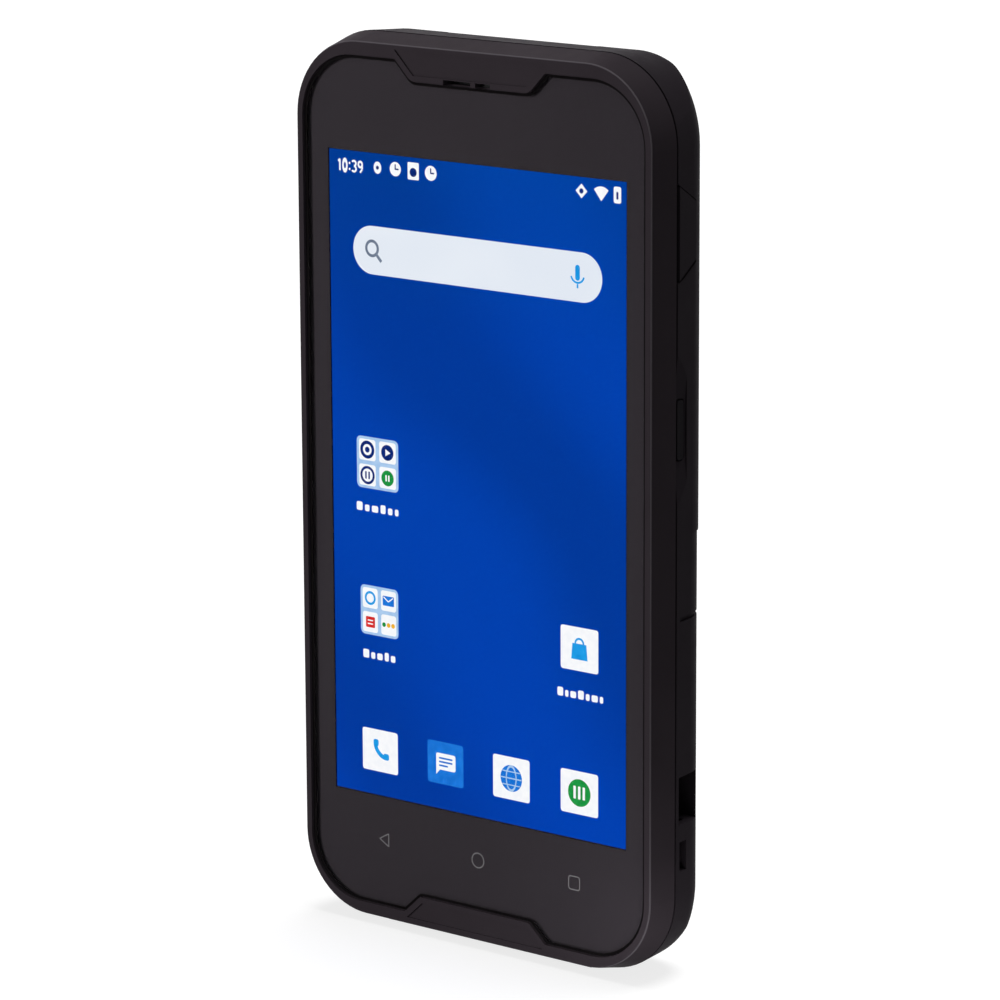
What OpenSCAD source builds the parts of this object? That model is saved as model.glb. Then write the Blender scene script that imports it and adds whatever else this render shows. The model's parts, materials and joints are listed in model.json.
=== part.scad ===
// Portable barcode data terminal: a slab handheld with a touch screen, side scan triggers, an imager that
// looks out of a bevel across the top of its back, and a battery under a cover that hooks in at its foot.
// The unit stands on its flat foot, z = 0. The screen faces -Y, +X is to the right of someone reading it.

/* [Body] */
// Overall width across the sides
body_w = 76.8; // [75.2:0.1:82]
// Height of the body above its foot
body_h = 153.2; // [151:0.1:165]
// Overall thickness at the raised upper back
body_t = 16.4; // [16.2:0.1:18.5]
// Radius of the four corners seen from the front
corner_r = 14.5; // [13:0.5:16]
// Depth of the front housing from its rim to the parting seam
front_depth = 5.4; // [5.2:0.1:5.8]
// How far the upper back stands above the lower back
back_step = 0.4; // [0.2:0.1:0.8]
// How far the front housing's side leans out from the rim to the seam
rim_lean = 1.3; // [1:0.05:1.6]
// Radius of the rim's crest
crest_r = 0.35; // [0.2:0.05:0.6]
// Edge radius along the sides of the back
side_edge_r = 6.75; // [5:0.25:7.5]
// Edge radius across the top of the back
top_edge_r = 2.75; // [2.5:0.25:4]
// Edge radius across the bottom of the back
bottom_edge_r = 6; // [5:0.25:7]
// Draft of the rear housing's sides in degrees
side_draft = 6; // [3:0.5:7]
// Draft of the rear housing's top and bottom in degrees
end_draft = 4; // [2:0.5:5]
// Radius of the curve that carries the sides' round edge over the corners
shoulder_r = 20; // [17:0.5:24]
// How far the line of that curve runs on past the top and the bottom
shoulder_rise = 5; // [4:0.25:7]
// Wall of the front housing
front_wall = 1.55; // [1.4:0.05:1.6]
// Wall of the rear housing
rear_wall = 1.7; // [1.65:0.05:1.8]
// Width of the alignment lip inside the parting seam
lip_t = 1; // [0.8:0.1:1.2]
// Reach of the alignment lip past the parting seam
lip_h = 0.8; // [0.5:0.1:0.9]
// Gap between the alignment lip and the front housing's wall
lip_gap = 0.1; // [0.05:0.01:0.15]
// Width of the shadow line left at the parting seam
seam_line = 0.3; // [0.2:0.05:0.5]
// Height of the flat foot that the terminal stands and docks on
foot_h = 0.3; // [0.25:0.05:0.4]
// Width of the foot
foot_w = 44; // [42:0.5:46]
// Distance from the front of the rim back to the foot
foot_front = 3.9; // [3.6:0.1:4.2]
// Distance from the lower back face to the foot
foot_rear = 3.2; // [3:0.1:3.6]

/* [Screen] */
// Width of the rim beside the glass
rim_side = 2.5; // [2.3:0.05:2.8]
// Height of the rim above the glass
rim_top = 3.65; // [3.3:0.05:4.2]
// Height of the rim below the glass
rim_bottom = 3.3; // [3:0.05:3.7]
// Corner radius of the glass opening
glass_r = 10.8; // [9:0.2:11.5]
// Gap between the glass and the rim
glass_gap = 0.15; // [0.1:0.05:0.25]
// Thickness of the cover glass
glass_t = 0.7; // [0.6:0.05:1.1]
// How far the rim stands proud of the glass
rim_proud = 0.5; // [0.3:0.05:0.7]
// Thickness of the printed black border film
film_t = 0.06; // [0.04:0.01:0.1]
// Thickness of the adhesive frame under the glass
adhesive_t = 0.2; // [0.1:0.05:0.3]
// Width of the adhesive frame
adhesive_w = 1.9; // [1.4:0.1:2]
// Width of the black border beside the picture
side_border = 4.75; // [4.4:0.05:6]
// Height of the black border below the picture
foot_border = 19.25; // [18:0.05:24]
// Distance from the top of the glass down to the picture
picture_drop = 16.3; // [14:0.1:18]
// Border of the display module beside and above the picture
module_edge = 1.6; // [1.2:0.1:1.7]
// Border of the display module below the picture, where its driver sits
module_foot = 4.8; // [4:0.1:6]
// Thickness of the liquid crystal panel
panel_t = 0.95; // [0.8:0.05:1]
// Thickness of the backlight's floor
backlight_t = 0.75; // [0.6:0.05:0.8]
// Thickness of the ledge that carries the glass
ledge_t = 1.7; // [1.6:0.05:1.9]

/* [Front tabs] */
// Half width of the upper tab at the edge of the glass
top_tab_root = 15.7; // [14:0.1:17]
// Half width of the upper tab at its end
top_tab_end = 12.3; // [11:0.1:13.5]
// Reach of the upper tab into the glass
top_tab_reach = 3.5; // [2.9:0.1:3.8]
// Radius of the upper tab's end corners
top_tab_r = 2.2; // [0.6:0.1:2.4]
// Half width of the lower tab at the edge of the glass
bottom_tab_root = 15.2; // [14:0.1:17]
// Half width of the lower tab at its end
bottom_tab_end = 11.8; // [11:0.1:13.5]
// Reach of the lower tab into the glass
bottom_tab_reach = 3.15; // [2.6:0.1:3.6]
// Radius of the lower tab's end corners
bottom_tab_r = 1.2; // [0.6:0.1:2.2]
// Depth of the blank fields on the tabs
field_depth = 0.25; // [0.15:0.05:0.4]
// Border between a blank field and its tab's edge
field_edge = 1; // [0.8:0.1:1.3]
// Length of the earpiece slot
ear_slot_l = 5.7; // [4:0.1:7]
// Height of the earpiece and lamp slots
ear_slot_h = 0.8; // [0.6:0.1:1]
// Middle of the earpiece slot from the centre line
ear_slot_x = -2.55; // [-5:0.05:-2]
// Length of the lamp slot
lamp_slot_l = 3.1; // [2:0.1:4]
// Middle of the lamp slot from the centre line
lamp_slot_x = 2.85; // [2.5:0.05:5]

/* [Chassis and boards] */
// Thickness of the chassis plate
chassis_t = 0.9; // [0.7:0.05:1]
// Height of the chassis standoffs under the boards
standoff_h = 1.2; // [1:0.05:1.3]
// Thickness of the circuit boards
board_t = 1; // [0.8:0.1:1.2]
// Distance from the body's side to the main board
board_side = 7.6; // [7.5:0.05:9]
// Distance from the top face down to the main board
board_drop = 7.5; // [7:0.5:10]
// Distance from the battery bay up to the main board
board_gap = 3.6; // [3:0.1:5]
// Distance from the body's side to the charging board
sub_board_side = 14.9; // [13:0.1:17]
// Height of the charging board
sub_board_h = 8.4; // [8:0.1:9]
// Height of the shields over the main board's chips
shield_h = 2.2; // [1.5:0.1:2.6]
// Side of the card reader
card_l = 14.5; // [13:0.5:16]
// Thickness of the card reader
card_t = 1.4; // [1.2:0.1:1.6]
// Radius of the vibration motor
motor_r = 3.7; // [3:0.1:3.8]
// Thickness of the vibration motor
motor_t = 2.7; // [2:0.1:3]
// Width of the earpiece
earpiece_w = 12; // [10:0.5:13]
// Height of the earpiece
earpiece_h = 6.4; // [5:0.1:6.6]
// Thickness of the earpiece
earpiece_t = 1.75; // [1.4:0.05:1.8]
// Radius of the housing screws' shanks
screw_r = 1; // [0.8:0.05:1.1]
// Radius of the housing screws' heads
screw_head_r = 1.9; // [1.7:0.05:2.1]
// Height of the housing screws' heads
screw_head_h = 1.2; // [1:0.1:1.4]
// Wall of the screw columns round their screws
column_wall = 1.5; // [1.2:0.1:1.7]

/* [Battery and cover] */
// Room beside the battery for its bay, the cover's ledge and the body's side
battery_side = 8.3; // [8.1:0.05:10]
// Height of the battery
battery_h = 55.4; // [50:0.2:57]
// Thickness of the battery
battery_t = 7.6; // [6:0.1:7.8]
// Height of the battery's foot above the bottom face
battery_z = 16.9; // [16.5:0.1:18]
// Play between the battery and its bay
battery_play = 0.4; // [0.2:0.05:0.6]
// Room above the battery for its contacts
contact_room = 0.9; // [0.6:0.1:1.2]
// Wall round the battery bay
bay_wall = 1.4; // [1:0.1:1.6]
// Thickness of the battery bay's floor
bay_floor_t = 0.9; // [0.7:0.1:1.1]
// Width of the ledge that the cover rests on
cover_ledge = 1.9; // [1.7:0.05:2]
// Height of the ledge at the hooks
hook_ledge = 3.8; // [3.6:0.1:4.2]
// Thickness of the battery cover
cover_t = 1.6; // [1.4:0.1:1.8]
// Corner radius of the battery cover
cover_r = 5; // [3:0.5:8]
// Gap round the battery cover
cover_gap = 0.15; // [0.1:0.05:0.25]
// Width of each cover hook
hook_w = 9; // [6:0.5:11]
// Distance between the middles of the cover hooks
hook_pitch = 20; // [16:0.5:22]
// Thickness of the cover hooks
hook_t = 0.8; // [0.6:0.1:0.9]
// Reach of the cover hooks under the housing
hook_reach = 1.7; // [1.2:0.1:1.8]
// Width of the cover's seal
seal_w = 0.8; // [0.6:0.1:1]
// Depth of the seal's groove in the cover
seal_depth = 0.6; // [0.4:0.05:0.7]

/* [Keys] */
// Length of the trigger's opening at the parting seam
trigger_long = 16.1; // [14:0.1:18]
// Length of the trigger's opening at its rear edge
trigger_short = 9.6; // [8:0.1:11]
// Width of the trigger's opening, measured back from the seam
trigger_reach = 5.7; // [5:0.1:6]
// Distance from the top face down to the middle of the triggers
trigger_drop = 28.2; // [26:0.1:32]
// Gap round every key
key_gap = 0.25; // [0.2:0.05:0.3]
// How far the triggers stand proud of the side
trigger_proud = 0.2; // [0.1:0.05:0.4]
// Travel of the triggers
trigger_travel = 0.35; // [0.2:0.05:0.4]
// Length of the power key's opening
power_l = 10.3; // [8:0.1:12]
// Width of the power key's and the volume rocker's openings
slim_key_w = 2.5; // [2.2:0.1:2.6]
// Distance from the back's step up to the middle of the power key
power_rise = 17.65; // [15:0.05:22]
// Travel of the power key
power_travel = 0.3; // [0.2:0.05:0.4]
// Length of the finger scoop round the power key
scoop_l = 25; // [18:0.5:27]
// Depth of the finger scoops
scoop_depth = 0.6; // [0.3:0.05:0.8]
// Length of the volume rocker's opening
rocker_l = 21; // [18:0.5:24]
// Length of the finger scoop round the volume rocker
rocker_scoop_l = 32; // [28:0.5:34]
// Tilt of the volume rocker each way in degrees
rocker_tilt = 1.8; // [1:0.1:2]
// Thickness of the flange that keeps a key in its opening
flange_t = 0.8; // [0.6:0.05:0.9]
// Thickness of the tactile switches
switch_t = 0.8; // [0.6:0.05:0.9]

/* [Back] */
// Distance from the body's side to the camera
camera_side = 19.4; // [18.5:0.1:20]
// Distance from the top face down to the camera
camera_drop = 15.5; // [15.2:0.1:18]
// Radius of the camera window
camera_r = 4.3; // [3.8:0.1:4.6]
// Radius of the camera bezel
camera_bezel_r = 5.6; // [5.2:0.1:6]
// Side of the camera module
camera_body = 8.4; // [7:0.1:8.6]
// Radius of the flash lens
flash_r = 1.8; // [1.4:0.1:2]
// Distance from the body's side to the loudspeaker's middle
speaker_side = 20.4; // [19.5:0.1:22]
// Width of the loudspeaker
speaker_w = 16; // [13:0.5:17]
// Height of the loudspeaker
speaker_h = 10; // [8:0.5:11]
// Thickness of the loudspeaker
speaker_t = 3.4; // [2.4:0.1:3.6]
// Number of loudspeaker slots
speaker_slots = 5; // [3:1:5]
// Width of each loudspeaker slot
speaker_slot_w = 0.9; // [0.6:0.1:1]
// Distance between loudspeaker slots
speaker_pitch = 1.8; // [1.6:0.1:2]
// Tilt of the scan window above straight back, in degrees
scan_tilt = 29; // [27:0.5:31]
// Width of the bevel round the scan window
scan_bevel_w = 32; // [30:0.5:34]
// Width of the scan window
scan_window_w = 26; // [24:0.5:27]
// Height of the scan window
scan_window_h = 5.2; // [4.8:0.1:5.4]
// Thickness of the scan window
scan_window_t = 0.9; // [0.7:0.1:1]
// Width of the scan engine
engine_w = 21; // [18:0.5:22]
// Height of the scan engine
engine_h = 6.8; // [6:0.1:7]
// Length of the scan engine
engine_l = 6.5; // [5:0.1:6.6]

/* [Lanyard anchor and ports] */
// Height of the lanyard anchor's lower opening above the bottom face
anchor_z = 18.7; // [18.2:0.1:20.7]
// Height of the anchor's small opening
anchor_slot_h = 5.1; // [4:0.1:5.5]
// Width of the anchor's small opening, front to back
anchor_slot_w = 2.2; // [1.8:0.1:2.6]
// Height of the anchor bar
anchor_bar_h = 2.85; // [2.4:0.05:3.2]
// Thickness of the anchor bar from the side inwards
anchor_bar_t = 1.9; // [1.6:0.1:2.1]
// Height of the anchor's large opening
anchor_notch_h = 8.2; // [7:0.1:9]
// Distance from the parting seam to the anchor's large opening
anchor_setback = 0.8; // [0.6:0.1:1]
// Depth of the anchor from the side
anchor_depth = 4.55; // [4.45:0.05:4.65]
// Width of the USB receptacle
usb_w = 8.94; // [8.94:0.01:9.2]
// Thickness of the USB receptacle
usb_t = 3.16; // [3.1:0.01:3.3]
// Length of the USB receptacle
usb_l = 7.4; // [6.5:0.1:7.6]
// Clearance between the USB receptacle and the housing
usb_gap = 0.3; // [0.2:0.05:0.4]
// Number of dock contacts
contact_count = 4; // [2:1:4]
// Distance between the dock contacts
contact_pitch = 2.5; // [2:0.1:2.6]
// Depth of the dock contacts below the foot's face
contact_sink = 0.1; // [0.05:0.05:0.2]
// Radius of the dock contacts
contact_r = 0.8; // [0.6:0.05:1]
// Distance from the centre line to the first dock contact
contact_x = 12.5; // [12:0.25:13]

/* [Hidden] */
$fn = 64;
big = 60;

// Depth positions, front to back
front_y = -body_t / 2;
back_y = body_t / 2;
back_low = back_y - back_step;
seam_y = front_y + front_depth;
glass_y = front_y + rim_proud;
film_gap = 0.02;
film_y = glass_y + glass_t + film_gap;
adhesive_y = film_y + film_t;
ledge_y = adhesive_y + adhesive_t;
panel_y = adhesive_y + 0.1;
backlight_y = panel_y + panel_t;
chassis_y = ledge_y + ledge_t;
chassis_back = chassis_y + chassis_t;
board_y = chassis_back + standoff_h;
board_back = board_y + board_t;
cover_y = back_low - cover_t;
bay_floor_y = cover_y - 0.3 - battery_t;
inner_back = back_y - rear_wall;

// Outlines, left to right and bottom to top
side_x = body_w / 2;
opening_w = body_w - 2 * rim_side;
opening_h = body_h - rim_top - rim_bottom;
opening_z = rim_bottom + opening_h / 2;
glass_top = body_h - rim_top;
picture_w = opening_w - 2 * side_border;
picture_h = opening_h - picture_drop - foot_border;
picture_z = glass_top - picture_drop - picture_h / 2;
module_w = picture_w + 2 * module_edge;
module_h = picture_h + module_edge + module_foot;
module_z = picture_z + (module_edge - module_foot) / 2;
battery_w = body_w - 2 * battery_side;
bay_w = battery_w + 2 * battery_play;
bay_z0 = battery_z - battery_play;
bay_z1 = battery_z + battery_h + contact_room;
cover_w = bay_w + 2 * cover_ledge;
cover_z0 = bay_z0 - hook_ledge;
cover_z1 = bay_z1 + cover_ledge;
step_z = cover_z1 + cover_gap;
board_z1 = body_h - board_drop;
board_z0 = bay_z1 + bay_wall + board_gap;
board_half_w = side_x - board_side;
sub_board_z = front_wall + lip_t + 0.4;
sub_board_half_w = side_x - sub_board_side;
ear_top = glass_top - top_tab_reach;
ear_z = ear_top - earpiece_h / 2 + 1.3;

// Screws, as distances from the centre line and heights
column_r = screw_r + column_wall;
screw_seat_y = back_low - screw_head_h - 0.3;
top_screw = [side_x - 10.9, body_h - 8.5];
middle_screw = [side_x - 9.9, step_z + 4.4];
bottom_screw = [side_x - 9.9, 8.2];
screw_spots = [top_screw, middle_screw, bottom_screw];
sub_screw = [sub_board_half_w - 3, sub_board_z + 4.1];
board_screw_spots = [[board_half_w - 3.8, board_z0 + 11], [board_half_w - 3.8, board_z1 - 20], sub_screw];

// Keys
trigger_z = body_h - trigger_drop;
power_z = step_z + power_rise;
rocker_z = (step_z + trigger_z - trigger_long / 2) / 2;
slim_key_y = seam_y + slim_key_w / 2;
rail_x = board_half_w + 0.4;
rail_t = 1;
flex_t = 0.3;
switch_x = rail_x + rail_t + flex_t;
nub_t = 0.2;
rocker_nub_z = 7;
rocker_foot_r = 1.2;

// Back features
camera_x = side_x - camera_side;
camera_z = body_h - camera_drop;
flash_x = camera_x - camera_bezel_r - flash_r - 2;
speaker_x = side_x - speaker_side;
speaker_z = camera_z - 5;
shield_top = camera_z - camera_body / 2 - 11.3;
bevel_y = back_y - 1.5;
bevel_z = body_h - 3.25;
pry_z = cover_z1 - 13.7;
hinge_z = cover_z0 - cover_gap / 2;
anchor_x0 = side_x - anchor_depth;
anchor_y = seam_y + anchor_setback;
bar_z0 = anchor_z + anchor_slot_h;
notch_z0 = bar_z0 + anchor_bar_h;
notch_z1 = notch_z0 + anchor_notch_h;
usb_y = board_back + usb_t / 2;
mic_x = usb_w / 2 + 3.5;

// Shields on the main board
shield_edge = 4.8;
shield_rise = 22;
shield_split = 1;
radio_split = 3;
radio_edge = 3.8;
radio_gap = 7.5;
radio_drop = 3;

// Antenna coil on the battery cover
coil_side = 7;
coil_end = 9.5;
coil_band = 5;
coil_corner = 3;

// Switch strips on the chassis rails
flex_front = 1.2;
flex_back = 2.2;
flex_below = 9;
flex_above = 4;

// ---- Helpers ----

// Box between two corners, given as its range on each axis
module block(x, y, z) {
    translate([x[0], y[0], z[0]])
        cube([x[1] - x[0], y[1] - y[0], z[1] - z[0]]);
}

// Front-view outline (x, z) filled between two depths
module slab(y0, y1) {
    translate([0, y1, 0])
        rotate([90, 0, 0])
            linear_extrude(y1 - y0)
                children();
}

// Side-view outline (y, z) filled between two widths
module bar(x0, x1) {
    translate([x0, 0, 0])
        rotate([90, 0, 90])
            linear_extrude(x1 - x0)
                children();
}

// Round post along Y
module post(x, z, y0, y1, r) {
    translate([x, y0, z])
        rotate([-90, 0, 0])
            cylinder(h = y1 - y0, r = r);
}

// Centred rectangle with round corners
module round_rect(w, h, r) {
    square([w - 2 * r, h], center = true);
    square([w, h - 2 * r], center = true);
    for (sx = [-1, 1], sy = [-1, 1])
        translate([sx * (w / 2 - r), sy * (h / 2 - r)])
            circle(r);
}

// The body's front outline, drawn in by a distance
module outline(inset) {
    translate([0, body_h / 2])
        round_rect(body_w - 2 * inset, body_h - 2 * inset, corner_r - inset);
}

// The right and left copies of a feature
module both_sides() {
    children();
    mirror([1, 0, 0]) children();
}

// ---- Outer form ----

// Section of a moulded edge, seen along it: u runs outwards, y runs back. It is as wide as reach at y0 and
// leans in by the draft towards y1, where its corner is round
module edge_section(reach, draft, y0, y1, r) {
    edge_y = y1 - r;
    touch_y = edge_y + r * sin(draft);
    touch_x = reach - (touch_y - y0) * tan(draft);
    edge_x = touch_x - r * cos(draft);
    polygon([[0, y0], [reach, y0], [touch_x, touch_y], [edge_x, edge_y], [edge_x, y1], [0, y1]]);
    translate([edge_x, edge_y]) circle(r);
}

// Width at the depth y0 of a drafted form that is as wide as reach at the seam, drawn in by a distance
function drawn_in(reach, draft, inset, y0) =
    reach - inset / cos(draft) - (y0 - seam_y) * tan(draft);

// Plate with round corners whose edges follow the sections given as children:
// 0 is carried round the lower corners, 1 round the upper corners, 2 up the sides
module framed_plate(half_w, half_h, corner, y0, y1) {
    corner_x = half_w - corner;
    corner_z = half_h - corner;
    corners = [[1, -1], [-1, -1], [-1, 1], [1, 1]];
    for (k = [0:3])
        translate([corners[k][0] * corner_x, 0, body_h / 2 + corners[k][1] * corner_z])
            rotate([0, 90 * k, 0])
                rotate([-90, 0, 0])
                    rotate_extrude(angle = 90)
                        children(k < 2 ? 0 : 1);
    translate([-corner_x, 0, body_h / 2])
        rotate([0, 90, 0])
            linear_extrude(2 * corner_x) {
                translate([corner_z, 0]) children(0);
                mirror([1, 0]) translate([corner_z, 0]) children(1);
                translate([-corner_z, y0]) square([2 * corner_z, y1 - y0]);
            }
    translate([0, 0, body_h / 2 - corner_z])
        linear_extrude(2 * corner_z) {
            translate([corner_x, 0]) children(2);
            mirror([1, 0]) translate([corner_x, 0]) children(2);
            translate([-corner_x, y0]) square([2 * corner_x, y1 - y0]);
        }
}

// Front housing's outer form: its side leans out from the crest of the rim to the seam
module front_form() {
    framed_plate(side_x, body_h / 2, corner_r, front_y, seam_y) {
        rim_section();
        rim_section();
        rim_section();
    }
}

module rim_section() {
    mirror([0, 1]) edge_section(corner_r, atan(rim_lean / front_depth), -seam_y, -front_y, crest_r);
}

// Flat foot under the body, between two depths
module foot(y0, y1) {
    block([-foot_w / 2, foot_w / 2], [y0, y1], [-foot_h, front_wall * 0.8]);
}

// Section of the rear housing's side with its round edge, on a base as wide as reach at the seam
module side_section(reach, inset, back, y0) {
    edge_section(drawn_in(reach, side_draft, inset, y0), side_draft, y0, back - inset, side_edge_r - inset);
}

// Section of the rear housing's top or bottom
module end_section(r, inset, back, y0) {
    edge_section(drawn_in(corner_r, end_draft, inset, y0), end_draft, y0, back - inset, r - inset);
}

// The rear housing's side profile along a length of the body
module side_prism(inset, back, z0, z1) {
    translate([0, 0, z0])
        linear_extrude(z1 - z0) {
            side_section(side_x, inset, back, seam_y);
            mirror([1, 0]) side_section(side_x, inset, back, seam_y);
        }
}

// Rear housing's outer form up to one back face, over a range of heights, drawn in by a distance: the form
// that its top and bottom edges run round, cut by the longer form that its sides' round edges run round
module rear_form(inset, back, y0, z) {
    intersection() {
        framed_plate(side_x, body_h / 2, corner_r, y0, back - inset) {
            end_section(bottom_edge_r, inset, back, y0);
            end_section(top_edge_r, inset, back, y0);
            translate([0, y0]) square([corner_r - inset, back - inset - y0]);
        }
        framed_plate(side_x, body_h / 2 + shoulder_rise, shoulder_r, y0, back - inset) {
            side_section(shoulder_r, inset, back, y0);
            side_section(shoulder_r, inset, back, y0);
            side_section(shoulder_r, inset, back, y0);
        }
        block([-big, big], [y0, back], z);
    }
}

// Both back faces together: the low one over the battery and the raised one above it
module rear_outer(inset, y0) {
    rear_form(inset, back_low, y0, [-1, step_z + inset]);
    rear_form(inset, back_y, y0, [step_z + inset, body_h + 1]);
}

// ---- Front ----

// Tab that the rim sends into the glass, with its two end corners round; grow widens it for the notch
module tab_outline(root, tip, reach, r, grow) {
    slant = (root - tip) / reach;
    norm = sqrt(1 + slant * slant);
    end_r = r + grow;
    end_x = tip + slant * r - r * norm;
    polygon([
        [-root - grow * norm - slant, -1], [root + grow * norm + slant, -1],
        [end_x + end_r / norm, reach - r + end_r * slant / norm], [end_x, reach + grow],
        [-end_x, reach + grow], [-end_x - end_r / norm, reach - r + end_r * slant / norm]
    ]);
    for (side = [-1, 1])
        translate([side * end_x, reach - r]) circle(end_r);
}

module tabs(grow) {
    translate([0, glass_top])
        mirror([0, 1])
            tab_outline(top_tab_root, top_tab_end, top_tab_reach, top_tab_r, grow);
    translate([0, rim_bottom])
        tab_outline(bottom_tab_root, bottom_tab_end, bottom_tab_reach, bottom_tab_r, grow);
}

// Outline of the glass, or of anything under it, drawn in from the rim and the tabs
module glass_outline(inset) {
    difference() {
        translate([0, opening_z])
            round_rect(opening_w - 2 * inset, opening_h - 2 * inset, glass_r - inset);
        tabs(inset);
    }
}

// Blank field sunk in a tab where a name would be
module tab_field(root, tip, reach, overhang) {
    slant = (root - tip) / reach;
    side = field_edge * sqrt(1 + slant * slant);
    top = reach - field_edge;
    polygon([
        [-root + side - slant * overhang, -overhang], [root - side + slant * overhang, -overhang],
        [root - side - slant * top, top], [-root + side + slant * top, top]
    ]);
}

module display_window(play) {
    translate([0, module_z]) square([module_w + 2 * play, module_h + 2 * play], center = true);
}

module slot_block(x, length, y0, y1) {
    block([x - length / 2, x + length / 2], [y0, y1],
        [ear_top, ear_top + ear_slot_h]);
}

module front_housing() {
    color([0.12, 0.11, 0.12])
        difference() {
            union() {
                front_form();
                foot(front_y + foot_front, seam_y);
            }
            slab(front_y - 1, ledge_y) glass_outline(0);
            slab(ledge_y - 1, chassis_y) display_window(0.3);
            slab(chassis_y, seam_y + 1) outline(front_wall);
            slab(front_y - 1, front_y + field_depth)
                translate([0, rim_bottom])
                    tab_field(bottom_tab_root, bottom_tab_end, bottom_tab_reach, 0.9);
            slab(front_y - 1, front_y + field_depth)
                translate([0, glass_top])
                    mirror([0, 1])
                        tab_field(top_tab_root, top_tab_end, top_tab_reach, 1.5);
            slot_block(ear_slot_x, ear_slot_l, front_y - 1, chassis_y + 1);
            slot_block(lamp_slot_x, lamp_slot_l, front_y - 1, chassis_y + 1);
            ear_pocket(0);
            // Shadow line at the seam
            slab(seam_y - seam_line, seam_y + 1)
                difference() {
                    outline(-1);
                    outline(seam_line);
                }
            at_spots([top_screw, bottom_screw]) post(0, 0, ledge_y + 0.3, big, screw_r);
        }
}

// Pocket behind the earpiece slot that its mesh lies in
module ear_pocket(inset) {
    mid_z = ear_top + ear_slot_h / 2;
    block([ear_slot_x - ear_slot_l / 2 - 0.6 + inset, ear_slot_x + ear_slot_l / 2 + 0.6 - inset],
        [chassis_y - 0.35 + inset, chassis_y + 1 - inset * 20], [mid_z - 1.2 + inset, mid_z + 1.2 - inset]);
}

module touch_glass() {
    color([0.16, 0.15, 0.16])
        slab(glass_y, glass_y + glass_t) glass_outline(glass_gap);
}

module border_film() {
    color([0.05, 0.05, 0.05])
        slab(film_y, film_y + film_t)
            difference() {
                glass_outline(glass_gap + 0.1);
                translate([0, picture_z]) square([picture_w + 0.4, picture_h + 0.4], center = true);
            }
}

module glass_adhesive() {
    color([0.1, 0.1, 0.1])
        slab(adhesive_y, ledge_y)
            difference() {
                glass_outline(glass_gap + 0.3);
                translate([0, opening_z])
                    round_rect(opening_w - 2 * (adhesive_w + 0.6), opening_h - 2 * (adhesive_w + 4),
                        glass_r - 5);
            }
}

module display_panel() {
    color([0.05, 0.2, 0.6])
        slab(panel_y, panel_y + panel_t)
            translate([0, module_z]) square([module_w - 1.2, module_h - 1.2], center = true);
}

module backlight() {
    color([0.75, 0.75, 0.78])
        difference() {
            slab(panel_y + 0.3, backlight_y + backlight_t) display_window(0);
            slab(panel_y - 1, backlight_y)
                translate([0, module_z]) square([module_w - 1, module_h - 1], center = true);
        }
}

module earpiece() {
    color([0.2, 0.2, 0.22])
        block([ear_slot_x - earpiece_w / 2, ear_slot_x + earpiece_w / 2],
            [chassis_y, chassis_y + earpiece_t],
            [ear_z - earpiece_h / 2, ear_z + earpiece_h / 2]);
}

module earpiece_mesh() {
    color([0.3, 0.3, 0.3])
        ear_pocket(0.05);
}

module status_lamp() {
    z0 = ear_top + 0.1;
    color([0.5, 0.5, 0.5])
        block([lamp_slot_x - lamp_slot_l / 2 + 0.1, lamp_slot_x + lamp_slot_l / 2 - 0.1],
            [ledge_y - 0.2, chassis_y], [z0, z0 + ear_slot_h - 0.2]);
}

// ---- Chassis and boards ----

// Places a child at each mirrored pair of spots given as (x, z)
module at_spots(spots) {
    for (spot = spots, side = [-1, 1])
        translate([side * spot[0], 0, spot[1]])
            children();
}

module chassis() {
    ear_room = earpiece_h / 2 + 0.4;
    color([0.62, 0.63, 0.65])
        difference() {
            union() {
                slab(chassis_y, chassis_back) outline(front_wall + lip_t + 0.35);
                both_sides()
                    block([rail_x, rail_x + rail_t], [chassis_y, 2.4], [board_z0 + 3.6, board_z1 - 11]);
                at_spots(screw_spots) post(0, 0, chassis_y, column_y0(), column_r);
                at_spots(board_screw_spots) post(0, 0, chassis_y, board_y, 1.9);
                for (z = [bay_z0 + 6 : 11 : bay_z1 - 4])
                    block([-battery_w / 2 + 3, battery_w / 2 - 3], [chassis_y, chassis_back + 0.6],
                        [z, z + 1]);
            }
            block([ear_slot_x - earpiece_w / 2 - 0.4, ear_slot_x + earpiece_w / 2 + 0.4], [-big, big],
                [ear_z - ear_room, ear_z + ear_room]);
            block([lamp_slot_x, lamp_slot_x + lamp_slot_l / 2 + 0.4], [-big, big],
                [ear_z, ear_z + ear_room]);
            at_spots(screw_spots) post(0, 0, -big, big, screw_r);
            at_spots(board_screw_spots) post(0, 0, -big, big, 0.8);
            slab(-big, chassis_back + 5)
                translate([0, module_z - module_h / 2 + 6]) round_rect(24, 5, 1.5);
        }
}

// Front end of the rear housing's screw columns
function column_y0() = chassis_back + 1;

module housing_seal() {
    color([0.3, 0.3, 0.32])
        slab(chassis_y, seam_y - lip_h)
            difference() {
                outline(front_wall + 0.15);
                outline(front_wall + lip_gap + lip_t);
            }
}

module main_board() {
    tongue = middle_screw[0] - column_r - 0.5;
    color([0.05, 0.3, 0.15])
        difference() {
            union() {
                block([-board_half_w, board_half_w], [board_y, board_back],
                    [middle_screw[1] + column_r + 0.5, board_z1]);
                block([-tongue, tongue], [board_y, board_back], [board_z0, board_z1]);
            }
            block([-engine_w / 2 - 1.5, engine_w / 2 + 1.5], [-big, big], [board_z1 - 4, board_z1 + 1]);
            both_sides() block([top_screw[0] - column_r - 0.5, big], [-big, big],
                [top_screw[1] - column_r - 0.5, board_z1 + 1]);
            at_spots(board_screw_spots) post(0, 0, -big, big, 0.85);
        }
}

module processor_shield() {
    color([0.8, 0.8, 0.82])
        block([shield_edge - board_half_w, -shield_split], [board_back, board_back + shield_h],
            [board_z0 + shield_rise, shield_top]);
}

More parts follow.
